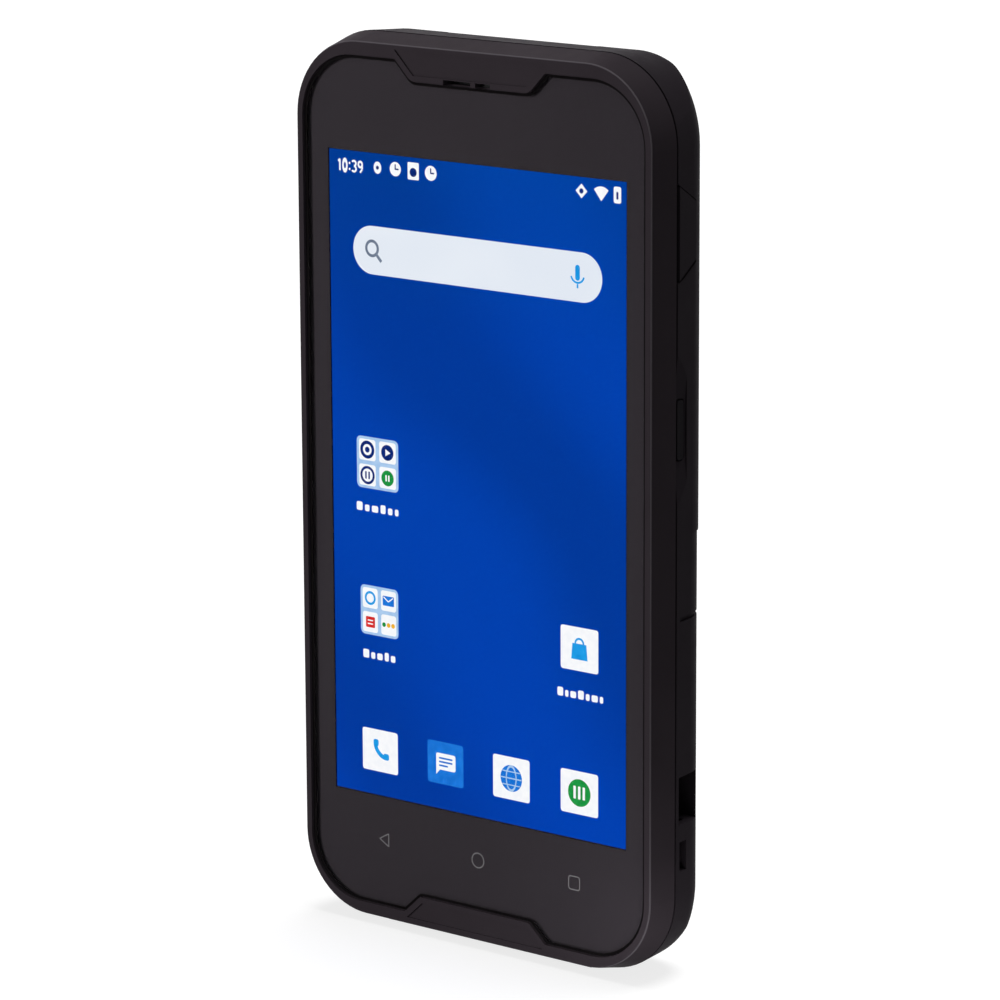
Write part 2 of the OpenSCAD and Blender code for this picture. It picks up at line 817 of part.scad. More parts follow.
module radio_shield() {
    color([0.8, 0.8, 0.82])
        block([radio_split, board_half_w - radio_edge], [board_back, board_back + shield_h - 0.3],
            [board_z0 + radio_gap + card_l, shield_top - radio_drop]);
}

module card_reader() {
    x1 = board_half_w - 6.3;
    color([0.7, 0.7, 0.72])
        block([x1 - card_l, x1], [board_back, board_back + card_t],
            [board_z0 + 6.5, board_z0 + 6.5 + card_l]);
}

module board_screws() {
    color([0.6, 0.6, 0.6])
        at_spots(board_screw_spots) {
            post(0, 0, chassis_y + 0.2, board_back + 0.1, 0.75);
            difference() {
                post(0, 0, board_back, board_back + 0.8, 1.5);
                post(0, 0, board_back + 0.3, board_back + 2, 0.6, $fn = 6);
            }
        }
}

module charging_board() {
    color([0.05, 0.3, 0.15])
        difference() {
            block([-sub_board_half_w, sub_board_half_w], [board_y, board_back],
                [sub_board_z, sub_board_z + sub_board_h]);
            at_spots([sub_screw]) post(0, 0, -big, big, 0.85);
        }
}

// Stadium outline of the receptacle, in plan
module usb_outline(grow) {
    r = usb_t / 2 + grow;
    translate([0, usb_y]) {
        square([usb_w - usb_t, 2 * r], center = true);
        for (side = [-1, 1])
            translate([side * (usb_w - usb_t) / 2, 0]) circle(r);
    }
}

module usb_receptacle() {
    color([0.75, 0.75, 0.77]) {
        difference() {
            translate([0, 0, 0.9]) linear_extrude(usb_l) usb_outline(0);
            translate([0, 0, 0]) linear_extrude(usb_l - 0.6) usb_outline(-0.3);
        }
        block([-3.35, 3.35], [usb_y - 0.35, usb_y + 0.35], [2.1, usb_l + 0.9]);
    }
}

module microphone() {
    color([0.8, 0.75, 0.6])
        block([mic_x - 1.5, mic_x + 1.5], [board_back, board_back + 1], [sub_board_z, sub_board_z + 2.4]);
}

module vibration_motor() {
    color([0.7, 0.7, 0.72])
        post(motor_r + 3.6 - sub_screw[0], sub_board_z + motor_r + 0.5,
            board_back, board_back + motor_t, motor_r);
}

module at_contacts() {
    for (k = [0 : contact_count - 1])
        translate([contact_x + k * contact_pitch, usb_y, 0])
            children();
}

module dock_contacts() {
    color([0.85, 0.7, 0.3])
        at_contacts()
            translate([0, 0, contact_sink - foot_h])
                cylinder(h = rear_wall + 0.4 + foot_h, r = contact_r);
}

// ---- Rear housing ----

module cover_outline(grow) {
    translate([0, (cover_z0 + cover_z1) / 2])
        round_rect(cover_w + 2 * grow, cover_z1 - cover_z0 + 2 * grow, cover_r + grow);
}

module bay_outline(grow) {
    translate([0, (bay_z0 + bay_z1) / 2])
        round_rect(bay_w + 2 * grow, bay_z1 - bay_z0 + 2 * grow, 2 + grow);
}

// Pocket that a cover hook swings in, with a wall round it when grown
module hook_pockets(grow) {
    deep = cover_t + hook_t + hook_reach + 0.1;
    for (x = [-hook_pitch, 0, hook_pitch])
        block([x - hook_w / 2 - 0.4 - grow, x + hook_w / 2 + 0.4 + grow],
            [back_low - deep - 0.2 - grow, cover_y + 0.05],
            [hinge_z - hook_reach - 0.5 - grow, hinge_z + 2.3 + grow]);
}

// Trigger opening seen from the side; grow widens it
module trigger_outline(grow, y0) {
    slant = (trigger_long - trigger_short) / 2 / trigger_reach;
    edge = grow * sqrt(1 + slant * slant);
    y1 = seam_y + trigger_reach + grow;
    half0 = trigger_long / 2 - slant * (y0 - seam_y) + edge;
    half1 = trigger_long / 2 - slant * (y1 - seam_y) + edge;
    polygon([
        [y0, trigger_z - half0], [y1, trigger_z - half1],
        [y1, trigger_z + half1], [y0, trigger_z + half0]
    ]);
}

// Slim key opening seen from the side, at a height
module slim_outline(z, length, grow) {
    translate([slim_key_y, z])
        round_rect(slim_key_w + 2 * grow, length + 2 * grow, 0.9 + grow);
}

// Shallow finger scoop along the seam: the cylinder's radius follows from its length and depth
module finger_scoop(z, length) {
    r = (length * length / 4 + scoop_depth * scoop_depth) / (2 * scoop_depth);
    translate([side_x + r - scoop_depth, seam_y - 1, z])
        rotate([-90, 0, 0])
            cylinder(h = slim_key_y + slim_key_w / 2 + 0.4 - seam_y + 1, r = r, $fn = 180);
}

// Frame of the scan window: x across, y out of the window, z up along it
module scan_frame() {
    translate([0, bevel_y, bevel_z])
        rotate([scan_tilt, 0, 0])
            children();
}

// What stands inside the shell: bay, cover flange, columns, anchor walls and seats
module rear_inner_features() {
    slab(bay_floor_y - bay_floor_t, big) bay_outline(bay_wall);
    slab(cover_y - 1.4, big) cover_outline(1.3);
    hook_pockets(1.2);
    at_spots(screw_spots) post(0, 0, column_y0(), big, column_r);
    block([anchor_x0 - 1.2, big], [seam_y - big, big], [anchor_z - 1.4, notch_z1 + 1.4]);
    scan_frame() block([-scan_window_w / 2 - 1.2, scan_window_w / 2 + 1.2],
        [-scan_window_t - 1.1, 10], [-scan_window_h / 2 - 1.2, scan_window_h / 2 + 1.2]);
    post(-camera_x, camera_z, inner_back - 0.4, big, camera_bezel_r + 1);
    difference() {
        block([speaker_x - speaker_w / 2 - 1.2, speaker_x + speaker_w / 2 + 1.2], [inner_back - 2.6, big],
            [speaker_z - speaker_h / 2 - 1.2, speaker_z + speaker_h / 2 + 1.2]);
        block([speaker_x - speaker_w / 2 - 0.1, speaker_x + speaker_w / 2 + 0.1], [-big, inner_back],
            [speaker_z - speaker_h / 2 - 0.1, speaker_z + speaker_h / 2 + 0.1]);
    }
}

// Alignment lip that reaches past the seam into the front housing
module lip_ring() {
    slab(seam_y - lip_h, seam_y + 1)
        difference() {
            outline(front_wall + lip_gap);
            outline(front_wall + lip_gap + lip_t);
        }
}

// Room inside the wall for a key's flange, and the opening through the wall
module trigger_opening() {
    bar(side_x - 8, side_x + 5) trigger_outline(0, seam_y - 0.1);
    bar(side_x - 8, side_x - rear_wall) trigger_outline(1.2, seam_y - 0.1);
}

module slim_opening(z, length) {
    bar(side_x - 8, side_x + 5) slim_outline(z, length, 0);
    bar(side_x - 8, side_x - rear_wall)
        translate([slim_key_y, z])
            square([slim_key_w + 0.7, length + 2.4], center = true);
}

// Lanyard anchor: a slot in the side, a notch that also opens to the back, and a tunnel behind the bar
module anchor_cuts() {
    block([anchor_x0, big], [anchor_y, big], [notch_z0, notch_z1]);
    block([anchor_x0, big], [anchor_y + 0.3, anchor_y + 0.3 + anchor_slot_w], [anchor_z, bar_z0]);
    block([anchor_x0, side_x - anchor_bar_t], [anchor_y + 0.3, anchor_y + 3.8], [anchor_z, notch_z0 + 1]);
}

// Fingernail groove across the right side that leads to the notch in the cover's edge
module pry_groove() {
    difference() {
        block([side_x - 8, big], [seam_y + 1.1, big], [pry_z - 0.4, pry_z + 0.4]);
        side_prism(0.45, back_low, pry_z - 1, pry_z + 1);
    }
}

module rear_cuts() {
    slab(cover_y, big) cover_outline(cover_gap);
    slab(bay_floor_y, big) bay_outline(0);
    hook_pockets(0);
    trigger_opening();
    mirror([1, 0, 0]) trigger_opening();
    slim_opening(power_z, power_l);
    mirror([1, 0, 0]) slim_opening(rocker_z, rocker_l);
    finger_scoop(power_z, scoop_l);
    mirror([1, 0, 0]) finger_scoop(rocker_z, rocker_scoop_l);
    anchor_cuts();
    pry_groove();
    at_spots(screw_spots) {
        post(0, 0, -big, big, screw_r + 0.1);
        post(0, 0, screw_seat_y, big, screw_head_r + 0.15);
    }
    // Scan window: bevel, seat and aperture
    scan_frame() {
        block([-scan_bevel_w / 2, scan_bevel_w / 2], [0, 10], [-12, 12]);
        block([-scan_window_w / 2 - 0.1, scan_window_w / 2 + 0.1], [-scan_window_t - 0.1, 1],
            [-scan_window_h / 2 - 0.1, scan_window_h / 2 + 0.1]);
        block([-scan_window_w / 2 + 1, scan_window_w / 2 - 1], [-6, 1],
            [-scan_window_h / 2 + 0.7, scan_window_h / 2 - 0.7]);
    }
    // Camera and flash
    post(-camera_x, camera_z, back_y - 1, big, camera_bezel_r + 0.1);
    post(-camera_x, camera_z, 0, big, camera_r - 0.7);
    post(-flash_x, camera_z, 0, big, flash_r + 0.1);
    // Loudspeaker slots and the mesh's pocket
    for (k = [0 : speaker_slots - 1])
        slab(0, big)
            translate([speaker_x, speaker_z + (k - (speaker_slots - 1) / 2) * speaker_pitch])
                round_rect(speaker_w - 5, speaker_slot_w, speaker_slot_w / 2 - 0.01);
    block([speaker_x - speaker_w / 2 + 0.8, speaker_x + speaker_w / 2 - 0.8], [0, inner_back + 0.2],
        [speaker_z - speaker_h / 2 + 0.3, speaker_z + speaker_h / 2 - 0.3]);
    // Ports in the bottom
    translate([0, 0, -1]) linear_extrude(rear_wall + 2) usb_outline(usb_gap);
    translate([mic_x, board_back + 0.5, -1]) cylinder(h = rear_wall + 2, r = 0.5);
    at_contacts()
        translate([0, 0, -1]) cylinder(h = rear_wall + 2, r = contact_r + 0.1);
    // Slot for the battery contacts in the bay's upper wall
    block([-6.6, 6.6], [board_back + 0.6, board_back + 2.8], [bay_z1 - 1, bay_z1 + bay_wall + 0.5]);
}

module rear_housing() {
    color([0.11, 0.1, 0.11])
        difference() {
            union() {
                difference() {
                    union() {
                        rear_outer(0, seam_y);
                        foot(seam_y, back_low - foot_rear);
                    }
                    difference() {
                        rear_outer(rear_wall, seam_y - 1);
                        rear_inner_features();
                    }
                }
                lip_ring();
            }
            rear_cuts();
        }
}

module housing_screws() {
    color([0.25, 0.25, 0.26]) {
        at_spots(screw_spots) {
            post(0, 0, chassis_y + 0.1, screw_seat_y + 0.1, screw_r - 0.05);
            difference() {
                post(0, 0, screw_seat_y, screw_seat_y + screw_head_h, screw_head_r);
                post(0, 0, screw_seat_y + 0.5, big, 0.95, $fn = 6);
            }
        }
        at_spots([screw_spots[0], screw_spots[2]])
            post(0, 0, ledge_y + 0.4, chassis_y + 0.2, screw_r - 0.05);
    }
}

// ---- Battery and cover ----

module battery_cover() {
    color([0.1, 0.1, 0.1])
        difference() {
            union() {
                intersection() {
                    rear_form(0, back_low, seam_y, [0, step_z]);
                    slab(cover_y, big) cover_outline(0);
                }
                for (x = [-hook_pitch, 0, hook_pitch]) {
                    block([x - hook_w / 2, x + hook_w / 2], [cover_y - 0.15 - hook_t, cover_y - 0.15],
                        [hinge_z - hook_reach, hinge_z + 0.8]);
                    block([x - hook_w / 2, x + hook_w / 2], [cover_y - 0.15 - hook_t, cover_y + 0.2],
                        [cover_z0 + 0.05, hinge_z + 0.8]);
                }
            }
            slab(cover_y - 1, cover_y + seal_depth)
                difference() {
                    seal_outline(0.5 + seal_w);
                    seal_outline(0.5);
                }
            slab(cover_y - 1, cover_y + 0.2) nfc_outline(0.2);
            // Fingernail notch in the right edge
            block([cover_w / 2 - 0.8, big], [cover_y + seal_depth + 0.2, big], [pry_z - 1.7, pry_z + 1.7]);
        }
}

module seal_outline(grow) {
    bay_outline(grow);
}

module cover_seal() {
    color([0.35, 0.35, 0.37])
        slab(cover_y, cover_y + seal_depth)
            difference() {
                seal_outline(0.5 + seal_w);
                seal_outline(0.5);
            }
}

module nfc_outline(grow) {
    translate([0, (bay_z0 + bay_z1) / 2])
        difference() {
            round_rect(battery_w - 2 * coil_side + 2 * grow, battery_h - 2 * coil_end + 2 * grow,
                coil_corner + grow);
            round_rect(battery_w - 2 * (coil_side + coil_band + grow),
                battery_h - 2 * (coil_end + coil_band + grow), coil_corner - 1 - grow);
        }
}

module nfc_antenna() {
    color([0.75, 0.45, 0.2])
        slab(cover_y, cover_y + 0.2) nfc_outline(0);
}

module battery_pack() {
    color([0.15, 0.15, 0.16])
        difference() {
            slab(bay_floor_y, bay_floor_y + battery_t)
                translate([0, battery_z + battery_h / 2]) round_rect(battery_w, battery_h, 1.6);
            // Finger notch for lifting the battery out
            translate([battery_w / 4, bay_floor_y + battery_t, battery_z - 2])
                sphere(r = 5);
        }
}

module battery_connector() {
    color([0.85, 0.7, 0.3]) {
        block([-7, 7], [board_back, board_back + 3.6], [bay_z1 + bay_wall + 0.3, board_z0 + 4]);
        for (x = [-5.2, -1.75, 1.75, 5.2])
            block([x - 0.5, x + 0.5], [board_back + 1, board_back + 2.4],
                [battery_z + battery_h + 0.15, bay_z1 + bay_wall + 0.4]);
    }
}

// ---- Back features ----

module loudspeaker() {
    color([0.2, 0.2, 0.2])
        block([speaker_x - speaker_w / 2, speaker_x + speaker_w / 2], [inner_back - speaker_t, inner_back],
            [speaker_z - speaker_h / 2, speaker_z + speaker_h / 2]);
}

module speaker_mesh() {
    color([0.3, 0.3, 0.3])
        block([speaker_x - speaker_w / 2 + 0.9, speaker_x + speaker_w / 2 - 0.9],
            [inner_back, inner_back + 0.2],
            [speaker_z - speaker_h / 2 + 0.4, speaker_z + speaker_h / 2 - 0.4]);
}

module camera_module() {
    color([0.1, 0.1, 0.12])
        difference() {
            union() {
                block([-camera_x - camera_body / 2, -camera_x + camera_body / 2], [board_back, 3],
                    [camera_z - camera_body / 2, camera_z + camera_body / 2]);
                block([-camera_x, -flash_x + 2], [board_back, 4], [camera_z - 2.2, camera_z + 2.2]);
                post(-camera_x, camera_z, 3, inner_back + 0.3, 3.2);
            }
            post(-camera_x, camera_z, inner_back - 0.4, big, 2.2);
        }
}

module camera_bezel() {
    color([0.3, 0.3, 0.32])
        difference() {
            post(-camera_x, camera_z, back_y - 1, back_y, camera_bezel_r);
            post(-camera_x, camera_z, -big, big, camera_r + 0.05);
        }
}

module camera_window() {
    color([0.05, 0.05, 0.08])
        post(-camera_x, camera_z, back_y - 1, back_y - 0.3, camera_r);
}

module flash_led() {
    color([0.95, 0.9, 0.5])
        block([-flash_x - 1, -flash_x + 1], [4, 4.7], [camera_z - 1, camera_z + 1]);
}

module flash_lens() {
    color([0.9, 0.9, 0.9])
        post(-flash_x, camera_z, 4.9, back_y - 0.1, flash_r);
}

module scan_engine() {
    color([0.15, 0.15, 0.17])
        scan_frame()
            difference() {
                block([-engine_w / 2, engine_w / 2], [-engine_l - 2.8, -2.8], [2.4 - engine_h, 2.4]);
                translate([-5, -3.6, -1]) rotate([-90, 0, 0]) cylinder(h = 2, r = 2.3);
                block([1, 9], [-3.3, 0], [-3, 1]);
            }
}

module scan_window() {
    color([0.25, 0.05, 0.06])
        scan_frame()
            block([-scan_window_w / 2, scan_window_w / 2], [-scan_window_t - 0.1, -0.1],
                [-scan_window_h / 2, scan_window_h / 2]);
}

module wifi_antenna() {
    color([0.75, 0.5, 0.25])
        block([speaker_x - 4, speaker_x + 4], [inner_back - 0.3, inner_back],
            [speaker_z + speaker_h / 2 + 1.7, body_h - 7]);
}

// ---- Side keys ----

module trigger_key() {
    tip_x = switch_x + switch_t + nub_t + trigger_travel + 0.1;
    z0 = trigger_z - trigger_long;
    z1 = trigger_z + trigger_long;
    intersection() {
        bar(side_x - rear_wall - flange_t, side_x + 5) trigger_outline(-key_gap, seam_y + key_gap);
        side_prism(-trigger_proud, back_y, z0, z1);
    }
    intersection() {
        bar(side_x - 8, side_x + 5) trigger_outline(0.8, seam_y + key_gap);
        difference() {
            side_prism(rear_wall + 0.15, back_y, z0, z1);
            side_prism(rear_wall + 0.15 + flange_t, back_y, z0 - 1, z1 + 1);
        }
    }
    translate([tip_x, 0, trigger_z]) rotate([0, 90, 0]) cylinder(h = side_x - rear_wall - tip_x, r = 1.2);
}

module trigger_right() {
    color([0.13, 0.12, 0.13]) trigger_key();
}

module trigger_left() {
    color([0.13, 0.12, 0.13]) mirror([1, 0, 0]) trigger_key();
}

// Key cap of a slim key with its flange: both follow the drafted side
module slim_key(z, length, flange_l) {
    z0 = z - length;
    z1 = z + length;
    intersection() {
        bar(side_x - rear_wall - flange_t, side_x + 5) slim_outline(z, length, -key_gap);
        side_prism(scoop_depth - 0.4, back_y, z0, z1);
    }
    intersection() {
        bar(side_x - 8, side_x + 5)
            translate([slim_key_y, z]) square([slim_key_w - 0.2, flange_l], center = true);
        difference() {
            side_prism(rear_wall + 0.15, back_y, z0, z1);
            side_prism(rear_wall + 0.15 + flange_t, back_y, z0 - 1, z1 + 1);
        }
    }
}

// Nub that presses a switch
module key_nub(z, travel) {
    tip_x = switch_x + switch_t + nub_t + travel + 0.1;
    translate([tip_x, slim_key_y, z]) rotate([0, 90, 0]) cylinder(h = side_x - rear_wall - tip_x, r = 0.9);
}

module power_key() {
    color([0.13, 0.12, 0.13]) {
        slim_key(power_z, power_l, power_l + 1.2);
        key_nub(power_z, power_travel);
    }
}

// Round foot that the rocker tilts on, against the flexible circuit's rail
module rocker_foot() {
    foot_x = switch_x + rocker_foot_r + 0.05;
    y0 = slim_key_y - slim_key_w / 2 + key_gap;
    y1 = slim_key_y + slim_key_w / 2 - key_gap;
    post(foot_x, rocker_z, y0, y1, rocker_foot_r);
    block([foot_x, side_x - rear_wall], [y0, y1], [rocker_z - rocker_foot_r, rocker_z + rocker_foot_r]);
}

module volume_rocker() {
    color([0.13, 0.12, 0.13])
        mirror([1, 0, 0]) {
            slim_key(rocker_z, rocker_l, 8);
            for (side = [-1, 1])
                key_nub(rocker_z + side * rocker_nub_z, rocker_nub_z * sin(rocker_tilt));
            rocker_foot();
        }
}

// Flexible circuit on the chassis rail that carries one side's switches
module side_flex() {
    block([rail_x + rail_t, switch_x], [slim_key_y - flex_front, flex_back],
        [power_z - flex_below, trigger_z + flex_above]);
}

module side_flex_right() {
    color([0.75, 0.5, 0.2]) side_flex();
}

module side_flex_left() {
    color([0.75, 0.5, 0.2]) mirror([1, 0, 0]) side_flex();
}

// Tactile switch with its round button
module tact_switch(y, z) {
    block([switch_x, switch_x + switch_t], [y - 1.1, y + 1.1], [z - 1.6, z + 1.6]);
    translate([switch_x + switch_t, y, z]) rotate([0, 90, 0]) cylinder(h = nub_t, r = 0.8);
}

module trigger_switch_right() {
    color([0.85, 0.85, 0.85]) tact_switch(0, trigger_z);
}

module trigger_switch_left() {
    color([0.85, 0.85, 0.85]) mirror([1, 0, 0]) tact_switch(0, trigger_z);
}

module power_switch() {
    color([0.85, 0.85, 0.85]) tact_switch(slim_key_y, power_z);
}

module volume_switches() {
    color([0.85, 0.85, 0.85])
        mirror([1, 0, 0])
            for (side = [-1, 1])
                tact_switch(slim_key_y, rocker_z + side * rocker_nub_z);
}

// ---- Nodes ----

// Raises a piece by the foot's height, so that the foot's face is at z = 0
module stand() {
    translate([0, 0, foot_h]) children();
}

stand() front_housing();
stand() touch_glass();
stand() border_film();
stand() glass_adhesive();
stand() display_panel();
stand() backlight();
stand() chassis();
stand() housing_seal();
stand() rear_housing();
stand() housing_screws();
stand() battery_cover();
stand() cover_seal();
stand() nfc_antenna();
stand() battery_pack();
stand() battery_connector();
stand() main_board();
stand() processor_shield();
stand() radio_shield();
stand() card_reader();
stand() board_screws();
stand() charging_board();
stand() usb_receptacle();
stand() microphone();
stand() vibration_motor();
stand() dock_contacts();
stand() earpiece();
stand() earpiece_mesh();
stand() status_lamp();
stand() loudspeaker();
stand() speaker_mesh();
stand() camera_module();
stand() camera_bezel();
stand() camera_window();
stand() flash_led();
stand() flash_lens();
stand() scan_engine();
stand() scan_window();
stand() wifi_antenna();
stand() trigger_right();
stand() trigger_left();
stand() power_key();
stand() volume_rocker();
stand() side_flex_right();
stand() side_flex_left();
stand() trigger_switch_right();
stand() trigger_switch_left();
stand() power_switch();
stand() volume_switches();
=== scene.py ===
import json
import math

import bmesh
import bpy
from mathutils import Matrix, Vector


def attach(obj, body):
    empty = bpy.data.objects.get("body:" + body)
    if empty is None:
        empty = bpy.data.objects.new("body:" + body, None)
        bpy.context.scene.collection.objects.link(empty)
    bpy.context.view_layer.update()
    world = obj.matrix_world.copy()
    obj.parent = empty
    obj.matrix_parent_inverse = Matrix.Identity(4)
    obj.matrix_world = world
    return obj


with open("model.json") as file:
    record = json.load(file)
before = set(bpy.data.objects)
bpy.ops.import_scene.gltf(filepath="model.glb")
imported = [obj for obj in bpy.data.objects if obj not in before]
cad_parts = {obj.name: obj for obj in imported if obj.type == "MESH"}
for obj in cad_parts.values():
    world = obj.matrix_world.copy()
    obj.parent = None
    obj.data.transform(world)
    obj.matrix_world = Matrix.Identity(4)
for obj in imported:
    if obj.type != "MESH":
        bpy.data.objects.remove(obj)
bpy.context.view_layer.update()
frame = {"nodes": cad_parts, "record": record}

MM = 0.001
DATUM = 1.0  # mm above the floor: the screen's heights and the camera's are counted from here


# ---- Shader helpers ----

def lin(*rgb):
    """Linear colour of an sRGB colour given as 0 to 255."""
    out = []
    for c in rgb:
        c = c / 255
        out.append(c / 12.92 if c <= 0.04045 else ((c + 0.055) / 1.055) ** 2.4)
    return (*out, 1.0)


def grey(v):
    """Linear grey of a level from 0 to 1."""
    return (v, v, v, 1.0)


def new_material(name):
    """An empty node material, with its nodes and links."""
    mat = bpy.data.materials.new(name)
    mat.use_nodes = True
    mat.node_tree.nodes.clear()
    return mat, mat.node_tree.nodes, mat.node_tree.links


def finish_shader(nodes, links, shader):
    out = nodes.new("ShaderNodeOutputMaterial")
    links.new(shader, out.inputs["Surface"])


def coords(nodes):
    """Each point's own place in metres, which stays on the piece when its body moves."""
    return nodes.new("ShaderNodeTexCoord").outputs["Object"]


def noise(nodes, links, scale, detail, rough=0.5):
    n = nodes.new("ShaderNodeTexNoise")
    n.inputs["Scale"].default_value = scale
    n.inputs["Detail"].default_value = detail
    n.inputs["Roughness"].default_value = rough
    links.new(coords(nodes), n.inputs["Vector"])
    return n.outputs["Fac"]


def ramp(nodes, links, fac, stops):
    r = nodes.new("ShaderNodeValToRGB")
    elements = r.color_ramp.elements
    while len(elements) < len(stops):
        elements.new(0.5)
    for e, (pos, col) in zip(elements, stops):
        e.position = pos
        e.color = col
    links.new(fac, r.inputs["Fac"])
    return r.outputs["Color"]


def math_node(nodes, links, operation, *values):
    """Result of a Math node; each value is a number or another node's output."""
    m = nodes.new("ShaderNodeMath")
    m.operation = operation
    for socket, value in zip(m.inputs, values):
        if isinstance(value, float):
            socket.default_value = value
        else:
            links.new(value, socket)
    return m.outputs["Value"]


# ---- Materials ----

PATCH_EDGES = (0.3, 0.7)      # noise levels between which a patch goes from one value to the other
PATCH_DETAIL = 4.0
GLOSS_SCALE = 6               # roughness varies this many times more finely than colour
GLOSS_DETAIL = 2.0
GRAIN_STRENGTH, GRAIN_DETAIL, GRAIN_ROUGHNESS = 0.35, 2.0, 0.6
# Painted highlight: FORWARD_RISE and FORWARD_FALL bound the crest, where the front housing is mixed
# to a lighter colour
FORWARD_RISE = (0.30, 0.42)   # share by which the surface faces forward: the crest begins here
FORWARD_FALL = (0.86, 0.97)   # and the front flat begins here
COAT_IOR, COAT_ROUGHNESS = 1.08, 0.08      # anti-glare coat of the cover glass
MATT = 0.005                  # specular level of the black plastic, which mirrors next to nothing


def crest_highlight_share(nodes, links):
    """Mask of the painted highlight: 1 on the rounded crest between the front flat and the leaning
    side, 0 elsewhere.
    """
    split = nodes.new("ShaderNodeSeparateXYZ")
    links.new(nodes.new("ShaderNodeNewGeometry").outputs["Normal"], split.inputs["Vector"])
    forward = math_node(nodes, links, "MULTIPLY", split.outputs["Y"], -1.0)
    return ramp(nodes, links, forward, [
        (FORWARD_RISE[0], grey(0)), (FORWARD_RISE[1], grey(1)),
        (FORWARD_FALL[0], grey(1)), (FORWARD_FALL[1], grey(0))])


def surface(name, dark, light, rough, spec=0.5, metal=0.0, patch=120.0, grain=None, depth=0.00002,
            coat=0.0, crest=None):
    """Principled surface whose colour and roughness vary in soft patches.

    patch and grain are noise scales per metre; grain adds a fine bump, depth metres deep.
    crest is the colour of the painted highlight along the front housing's crest.
    """
    mat, nodes, links = new_material(name)
    b = nodes.new("ShaderNodeBsdfPrincipled")
    low, high = PATCH_EDGES
    colour = ramp(nodes, links, noise(nodes, links, patch, PATCH_DETAIL),
                  [(low, dark), (high, light)])
    # Painted highlight: where the surface turns from front to side, the colour is mixed towards
    # crest
    if crest:
        crest_highlight_mix = nodes.new("ShaderNodeMix")
        crest_highlight_mix.data_type = "RGBA"
        links.new(crest_highlight_share(nodes, links), crest_highlight_mix.inputs["Factor"])
        links.new(colour, crest_highlight_mix.inputs["A"])
        crest_highlight_mix.inputs["B"].default_value = crest
        colour = crest_highlight_mix.outputs["Result"]
    links.new(colour, b.inputs["Base Color"])
    gloss = ramp(nodes, links, noise(nodes, links, patch * GLOSS_SCALE, GLOSS_DETAIL),
                 [(low, grey(rough[0])), (high, grey(rough[1]))])
    links.new(gloss, b.inputs["Roughness"])
    b.inputs["Metallic"].default_value = metal
    b.inputs["Specular IOR Level"].default_value = spec
    b.inputs["Coat Weight"].default_value = coat
    if grain:
        bump = nodes.new("ShaderNodeBump")
        bump.inputs["Strength"].default_value = GRAIN_STRENGTH
        bump.inputs["Distance"].default_value = depth
        height = noise(nodes, links, grain, GRAIN_DETAIL, GRAIN_ROUGHNESS)
        links.new(height, bump.inputs["Height"])
        links.new(bump.outputs["Normal"], b.inputs["Normal"])
    finish_shader(nodes, links, b.outputs["BSDF"])
    return mat


def pane(name):
    """Clear cover glass: its outer face mirrors a little by angle and all behind it shows."""
    mat, nodes, links = new_material(name)
    fres = nodes.new("ShaderNodeFresnel")
    fres.inputs["IOR"].default_value = COAT_IOR
    geo = nodes.new("ShaderNodeNewGeometry")
    outside = math_node(nodes, links, "SUBTRACT", 1.0, geo.outputs["Backfacing"])
    share = math_node(nodes, links, "MULTIPLY", fres.outputs["Fac"], outside)
    clear = nodes.new("ShaderNodeBsdfTransparent")
    clear.inputs["Color"].default_value = grey(1)
    gloss = nodes.new("ShaderNodeBsdfGlossy")
    gloss.inputs["Roughness"].default_value = COAT_ROUGHNESS
    mix = nodes.new("ShaderNodeMixShader")
    links.new(share, mix.inputs["Fac"])
    links.new(clear.outputs["BSDF"], mix.inputs[1])
    links.new(gloss.outputs["BSDF"], mix.inputs[2])
    finish_shader(nodes, links, mix.outputs["Shader"])
    return mat


SHELL = surface("shell_black", lin(34, 30, 34), lin(38, 34, 38), (0.42, 0.50), spec=MATT,
                patch=60, grain=5200, depth=0.00001)
# Front housing: a lighter copy of the shell plastic, which is painted light on the front rim; crest
# is its painted highlight
RIM_PAINTED_LIGHTER = surface("rim_black_painted_lighter", lin(45, 40, 44), lin(49, 44, 48), (0.42, 0.50), spec=MATT,
              patch=60, grain=5200, depth=0.000006, crest=lin(74, 70, 74))
COVER = surface("cover_black", lin(32, 29, 32), lin(36, 33, 36), (0.46, 0.56), spec=0.01,
                patch=70, grain=4200, depth=0.000015)
KEY = surface("key_black", lin(34, 30, 34), lin(38, 34, 38), (0.34, 0.42), spec=MATT,
              patch=90, grain=6000, depth=0.000006)
SLIM_KEY = surface("slim_key_black", lin(24, 22, 25), lin(28, 26, 29), (0.40, 0.48), spec=MATT,
                   patch=90, grain=6000, depth=0.000006)
# Black of the dark strips that paint the shadow in gaps
PAINTED_SHADOW_BLACK = surface("painted_gap_shadow", lin(14, 12, 13), lin(20, 18, 19), (0.6, 0.7), spec=0.0,
                     patch=200)
PRINT = surface("border_print_grey", lin(118, 116, 118), lin(132, 130, 132), (0.4, 0.5), spec=0.1)

